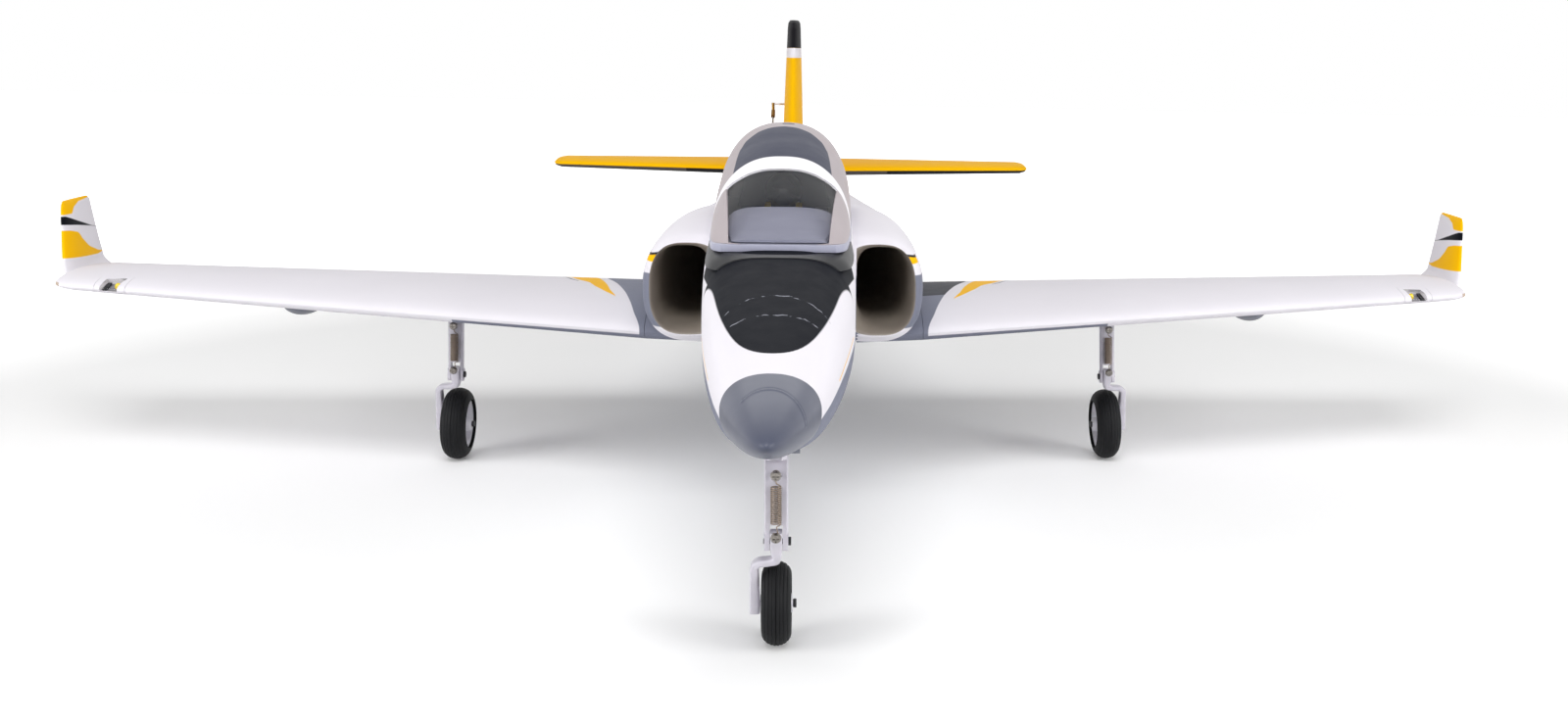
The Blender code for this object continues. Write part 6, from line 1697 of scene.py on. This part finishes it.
def strut(name, body, matrix, link, spring_top, tip_side, radius, top, extra):
    """A coated tube with a flat for the spring and a forked foot for the trailing arm."""
    tube = add_mesh(name + "_strut_tube", bar(local(0, 0, top), local(0, 0, -link), radius, 48))
    cut(tube, block((-20, FOOT_RADIUS, -link - 20), (20, 20, -link + 9.6), local))
    join(tube, bar(local(-radius, 0, -link), local(radius, 0, -link), FOOT_RADIUS, 40))
    cut(tube, block((-20, -20, -link - 20), (20, -STRUT_FLAT, -spring_top + 7), local))
    half = ARM_WIDTH / 2 + GAP
    cut(tube, block((-half, -20, -link - 20), (half, 20, -link + 9.6), local))
    join(tube, *extra)
    round_edges(tube, 0.35)
    tube.data.transform(matrix)
    dress(tube, MATERIALS["alloy"], body, "grey_alloy", name + "_strut")
    near = -tip_side * (radius + 0.5)
    far = tip_side * (radius + 1.5)
    pin = add_mesh(name + "_link_pin", bar(local(near, 0, -link), local(far, 0, -link), PIN_RADIUS, 20))
    join(pin, bar(local(tip_side * (radius - 0.2), 0, -link), local(far, 0, -link), 2.3, 24))
    round_edges(pin, 0.3)
    pin.data.transform(matrix)
    dress(pin, MATERIALS["black"], body, "spring_steel")
    screw(name + "_spring_screw", body, matrix, -spring_top)


def arm(name, body, matrix, link, axle, tip_side, tyre_width, radius):
    """The trailing arm: from the fork it jogs over the tyre and runs down beside it to the axle."""
    drop = axle - link
    offset = tip_side * (tyre_width / 2 + SIDE_GAP + ARM_FOOT_WIDTH / 2)
    shoulder = radius - drop + SHOULDER_GAP + SHOULDER_THICKNESS / 2
    top = LINK_SCREW_RISE + SCREW_SHANK_RADIUS
    path = [
        (0.0, -2.4, top, 0, ARM_WIDTH), (0.0, 0.0, -3.0, 0, ARM_WIDTH), (0.0, 1.0, shoulder + 2.2, 40, 5.0),
        (offset * 0.35, 2.0, shoulder + 0.3, 80, SHOULDER_THICKNESS),
        (offset * 0.72, 2.8, shoulder - 0.3, 70, SHOULDER_THICKNESS),
        (offset, 3.8, shoulder - 4.0, 20, 4.8), (offset, TRAIL, -drop, 0, ARM_FOOT_WIDTH),
        (offset, TRAIL + 1.0, -drop - 5.0, 0, ARM_FOOT_WIDTH)]
    columns = list(zip(*path))
    knots = list(range(len(path)))

    def shape(turn, run):
        x, y, z, lean, wide = (curve_value(knots, column, run) for column in columns)
        tilt = math.radians(lean) * tip_side
        angle = 2 * math.pi * turn
        power = 2 / 5
        a = wide / 2 * math.copysign(abs(math.cos(angle)) ** power, math.cos(angle))
        b = ARM_DEPTH / 2 * math.copysign(abs(math.sin(angle)) ** power, math.sin(angle))
        return local(x + math.cos(tilt) * a, y + b, z + math.sin(tilt) * a)

    piece = add_mesh(name + "_arm_bar", skin(shape, 40, spread(0, len(path) - 1, 0.1)))
    pivot = matrix @ Matrix.Translation(local(0, 0, -link))
    far = -tip_side * (tyre_width / 2 + 0.8)
    spindle = bar(local(offset, TRAIL, -drop), local(far - tip_side * 1.0, TRAIL, -drop), AXLE_RADIUS, 24)
    join(piece, spindle)
    piece.data.transform(pivot)
    soften(piece)
    dress(piece, MATERIALS["alloy"], body, "grey_alloy", name + "_arm")
    nut = add_mesh(name + "_axle_nut",
                   bar(local(far, TRAIL, -drop), local(far - tip_side * 1.8, TRAIL, -drop), 2.5, 6))
    round_edges(nut, 0.3)
    nut.data.transform(pivot)
    dress(nut, MATERIALS["black"], body, "spring_steel")
    screw(name + "_link_screw", body, pivot, LINK_SCREW_RISE)


def wheel(name, body, matrix, radius, width):
    """A moulded hub and the ribbed tyre on it, turned about the wheel's own axle."""
    rim = radius - RIM_DEPTH + 0.4
    half = width / 2
    bore = AXLE_RADIUS + GAP
    hub_profile = [
        (bore, -half - 0.6), (4.6, -half - 0.6), (5.2, -half + 0.2), (5.6, -2.6), (rim - 3.0, -2.0),
        (rim - 2.0, -half + 2.6), (rim, -half + 2.2), (rim, half - 2.2), (rim - 2.0, half - 2.6),
        (rim - 3.0, 2.0), (5.6, 2.6), (5.2, half - 0.2), (4.6, half + 0.6), (bore, half + 0.6)]
    hub = add_mesh(name + "_hub_turned",
                   spun([local(x, 0, r) for r, x in hub_profile], 72, (1, 0, 0), (0, 0, 0)))
    web = (5.6 + rim - 3.0) / 2
    holes = []
    for i in range(HUB_HOLES):
        angle = 2 * math.pi * (i + 0.5) / HUB_HOLES
        spot = (web * math.cos(angle), web * math.sin(angle))
        holes.append(bar(local(-half, *spot), local(half, *spot), (rim - 9.4) / 2, 20))
    cut(hub, *holes)
    round_edges(hub, 0.25)
    inner = rim + GAP
    bulge = half * 0.92
    crown = radius - bulge
    tyre_profile = [(inner, -half + 2.6), (inner, half - 2.6), (inner + 1.4, half - 1.1)]
    for i in range(81):
        angle = math.pi * i / 80
        across = math.copysign(abs(math.cos(angle)) ** 0.95, math.cos(angle))
        rib = 0.0
        for groove in (-0.72, -0.48, -0.24, 0.0, 0.24, 0.48, 0.72):
            rib = max(rib, 1 - abs(across - groove) / 0.04)
        tyre_profile.append((crown + bulge * math.sin(angle) ** 0.95 - 0.45 * rib, half * across))
    tyre_profile.append((inner + 1.4, -half + 0.9))
    tyre = add_mesh(name + "_tyre_ribbed",
                    spun([local(x, 0, r) for r, x in tyre_profile], 96, (1, 0, 0), (0, 0, 0)))
    for piece, material, slot, node in (
            (hub, "hub", "hub_plastic", name + "_wheel_hub"),
            (tyre, "tyre", "tyre_rubber", name + "_wheel_tyre")):
        piece.data.transform(matrix)
        dress(piece, MATERIALS[material], body, slot, node)


def spring_hook(y, z, way):
    """The open loop at a spring's end round its screw; way is 1 at the foot and -1 at the top."""
    loop = SCREW_SHANK_RADIUS + SPRING_WIRE / 2 + 0.15
    path = []
    for i in range(-10, 11):
        angle = way * math.pi / 2 + math.pi * (i / 10) * 0.85
        path.append(local(-way * loop * math.cos(angle), y, z - loop * math.sin(angle)))
    return path


def spring(name, body, matrix, top, bottom):
    """A close-wound tension spring with a loop at each end round its screw."""
    y = -STRUT_FLAT - SPRING_RADIUS - SPRING_WIRE / 2 - GAP
    high = -top - SPRING_LEAD
    low = -bottom + SPRING_LEAD
    turns = round((high - low) / SPRING_PITCH)
    count = turns * SPRING_STEPS
    path = spring_hook(y, -bottom, 1)
    path.append(local(0.3, y, low - 1.6))
    for i in range(count + 1):
        angle = 2 * math.pi * i / SPRING_STEPS
        z = low + (high - low) * i / count
        path.append(local(SPRING_RADIUS * math.cos(angle), y + SPRING_RADIUS * math.sin(angle), z))
    path.append(local(0.3, y, high + 1.6))
    path += spring_hook(y, -top, -1)
    coil = wire(name + "_spring_coil", path, SPRING_WIRE / 2)
    coil.data.transform(matrix)
    dress(coil, MATERIALS["spring"], body, "spring_steel", name + "_spring")


def running_gear(name, matrix, link, spring_top, stretch, tip_side, width, radius):
    """A leg's trailing arm, wheel and spring."""
    arm(name, name + "_link", matrix, link, stretch, tip_side, width, radius)
    axle = matrix @ Matrix.Translation(local(0, TRAIL, -stretch))
    wheel(name, name + "_wheel", axle, radius, width)
    spring(name, name + "_leg", matrix, spring_top, link - LINK_SCREW_RISE)


def main_gear():
    x, s, z = MAIN_PIVOT
    link = z - MAIN_LINK_Z
    spring_top = z - MAIN_SPRING_TOP_Z
    stretch = (z - MAIN_WHEEL_RADIUS) / math.cos(MAIN_SPLAY)
    reach = TRUNNION_HALF_LENGTH + CHEEK_THICKNESS
    for name, side in SIDES:
        matrix = Matrix.Translation(point(side * x, s, z)) @ Matrix.Rotation(-side * MAIN_SPLAY, 4, "Y")
        trunnion = bar(local(0, -TRUNNION_HALF_LENGTH, 0), local(0, TRUNNION_HALF_LENGTH, 0),
                       TRUNNION_RADIUS, 40)
        pin = bar(local(0, -reach, 0), local(0, reach, 0), PIN_RADIUS, 20)
        strut(name, name + "_leg", matrix, link, spring_top, -side, MAIN_STRUT_RADIUS,
              -TRUNNION_RADIUS + 1.5, (trunnion, pin))
        running_gear(
            name, matrix, link, spring_top, stretch, side, MAIN_TYRE_WIDTH, MAIN_WHEEL_RADIUS)


def nose_gear():
    x, s, z = NOSE_PIVOT
    matrix = Matrix.Translation(point(x, s, z))
    link = z - NOSE_LINK_Z
    stretch = z - NOSE_WHEEL_RADIUS
    spring_top = z - NOSE_SPRING_TOP_Z
    king = bar(local(0, 0, -TRUNNION_RADIUS - 3), local(0, 0, TRUNNION_RADIUS + 2), KING_RADIUS, 40)
    strut("nose", "nose_leg", matrix, link, spring_top, 1, NOSE_STRUT_RADIUS, -TRUNNION_RADIUS - GAP,
          (king,))
    running_gear("nose", matrix, link, spring_top, stretch, -1, NOSE_TYRE_WIDTH, NOSE_WHEEL_RADIUS)


# Solids that keep their own shape

def kept_solids():
    """The fan, the electrics and the retract units keep their solids and get a finish of their own."""
    finishes = {
        "fan_housing": "black", "fan_rotor": "black", "motor": "motor", "battery": "wrap",
        "speed_controller": "black", "receiver": "black", "wing_spar": "carbon",
        "left_retract_unit": "black", "right_retract_unit": "black", "nose_retract_unit": "fairing",
        "nose_trunnion": "alloy"}
    for node, finish in finishes.items():
        for material_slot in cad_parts[node].material_slots:
            material_slot.material = MATERIALS[finish]


# Studio

FLOOR_WHITE = "#f4f4f4"
FLOOR_LIFT = 0.1
WORLD_LEVEL = 0.35
CAMERA_PLACE = (0.0167, -1.1499, 0.3115)
CAMERA_YAW = math.radians(-4.76)
CAMERA_PITCH = math.radians(11.56)
CAMERA_ROLL = math.radians(1.19)
CAMERA_LENS = 34.65
CAMERA_SHIFT = -0.0944


def seen_straight(tree):
    """1 for what the camera sees directly, in a gloss or through glass."""
    path = add_node(tree, "ShaderNodeLightPath")
    near = add_node(
        tree, "ShaderNodeMath", {"operation": "MAXIMUM"}, None,
        {0: path.outputs["Is Camera Ray"], 1: path.outputs["Is Glossy Ray"]})
    return add_node(
        tree, "ShaderNodeMath", {"operation": "MAXIMUM"}, None,
        {0: near.outputs[0], 1: path.outputs["Is Transmission Ray"]}).outputs[0]


def studio_floor():
    """A white paper sweep: it shows the object's shadow nearby and runs to plain white further off."""
    bm = bmesh.new()
    bmesh.ops.create_grid(bm, x_segments=4, y_segments=4, size=8.0)
    floor = add_mesh("studio_floor", bm)
    material, tree, shader, place = new_material("white_paper_sweep")
    shader.inputs["Base Color"].default_value = linear(FLOOR_WHITE)
    shader.inputs["Roughness"].default_value = 0.9
    shader.inputs["Specular IOR Level"].default_value = 0.1
    shader.inputs["Emission Color"].default_value = (1.0, 1.0, 1.0, 1.0)
    away = add_node(tree, "ShaderNodeVectorMath", {"operation": "LENGTH"}, None, {0: place})
    lift = add_node(
        tree, "ShaderNodeMapRange", None,
        {"From Min": 0.75, "From Max": 1.5, "To Min": FLOOR_LIFT, "To Max": 1.0},
        {"Value": away.outputs["Value"]})
    glow = add_node(
        tree, "ShaderNodeMath", {"operation": "MULTIPLY"}, None,
        {0: lift.outputs["Result"], 1: seen_straight(tree)})
    tree.links.new(glow.outputs[0], shader.inputs["Emission Strength"])
    floor.data.materials.append(material)


def studio_world():
    world = bpy.data.worlds.new("studio")
    bpy.context.scene.world = world
    world.use_nodes = True
    tree = world.node_tree
    sky = tree.nodes["Background"]
    sky.inputs["Color"].default_value = (1.0, 1.0, 1.0, 1.0)
    level = add_node(
        tree, "ShaderNodeMapRange", None, {"To Min": WORLD_LEVEL, "To Max": 1.0},
        {"Value": seen_straight(tree)})
    tree.links.new(level.outputs["Result"], sky.inputs["Strength"])


def softbox(name, place, aim, width, depth, power):
    light = bpy.data.lights.new(name, "AREA")
    light.shape = "RECTANGLE"
    light.size = width
    light.size_y = depth
    light.energy = power
    lamp = bpy.data.objects.new(name, light)
    bpy.context.collection.objects.link(lamp)
    lamp.location = place
    lamp.rotation_euler = (Vector(aim) - Vector(place)).to_track_quat("-Z", "Y").to_euler()


def studio_camera():
    data = bpy.data.cameras.new("photo_camera")
    data.sensor_width = 36.0
    data.lens = CAMERA_LENS
    data.shift_x = CAMERA_SHIFT
    data.clip_start = 0.05
    camera = bpy.data.objects.new("photo_camera", data)
    bpy.context.collection.objects.link(camera)
    turn = Matrix.Rotation(CAMERA_YAW, 3, "Z")
    forward = turn @ Vector((0, math.cos(CAMERA_PITCH), -math.sin(CAMERA_PITCH)))
    right = turn @ Vector((1, 0, 0))
    up = right.cross(forward)
    across = math.cos(CAMERA_ROLL) * right + math.sin(CAMERA_ROLL) * up
    upright = -math.sin(CAMERA_ROLL) * right + math.cos(CAMERA_ROLL) * up
    pose = Matrix((across, upright, -forward)).transposed().to_4x4()
    camera.matrix_world = Matrix.Translation(CAMERA_PLACE) @ pose
    bpy.context.scene.camera = camera


def studio():
    bpy.context.scene.view_settings.view_transform = "Standard"
    studio_floor()
    studio_world()
    for name, side in SIDES:
        softbox(name + "_softbox", (side * 2.0, -1.2, 0.95), (0.0, -0.1, 0.1), 1.2, 1.0, 27.0)
    softbox("front_softbox", (0.0, -1.5, 1.8), (0.0, -0.3, 0.15), 1.2, 0.7, 24.0)
    softbox("rear_softbox", (0.0, 2.4, 1.6), (0.0, 0.0, 0.2), 2.4, 1.2, 8.0)
    studio_camera()


nose_cone()
fuselage()
hatch_seat()
intake_ducts()
thrust_tube()
canopy()
hatch_base()
cockpit()
pilot()
wings()
stabilisers()
fin_and_rudder()
main_gear()
nose_gear()
kept_solids()
studio()
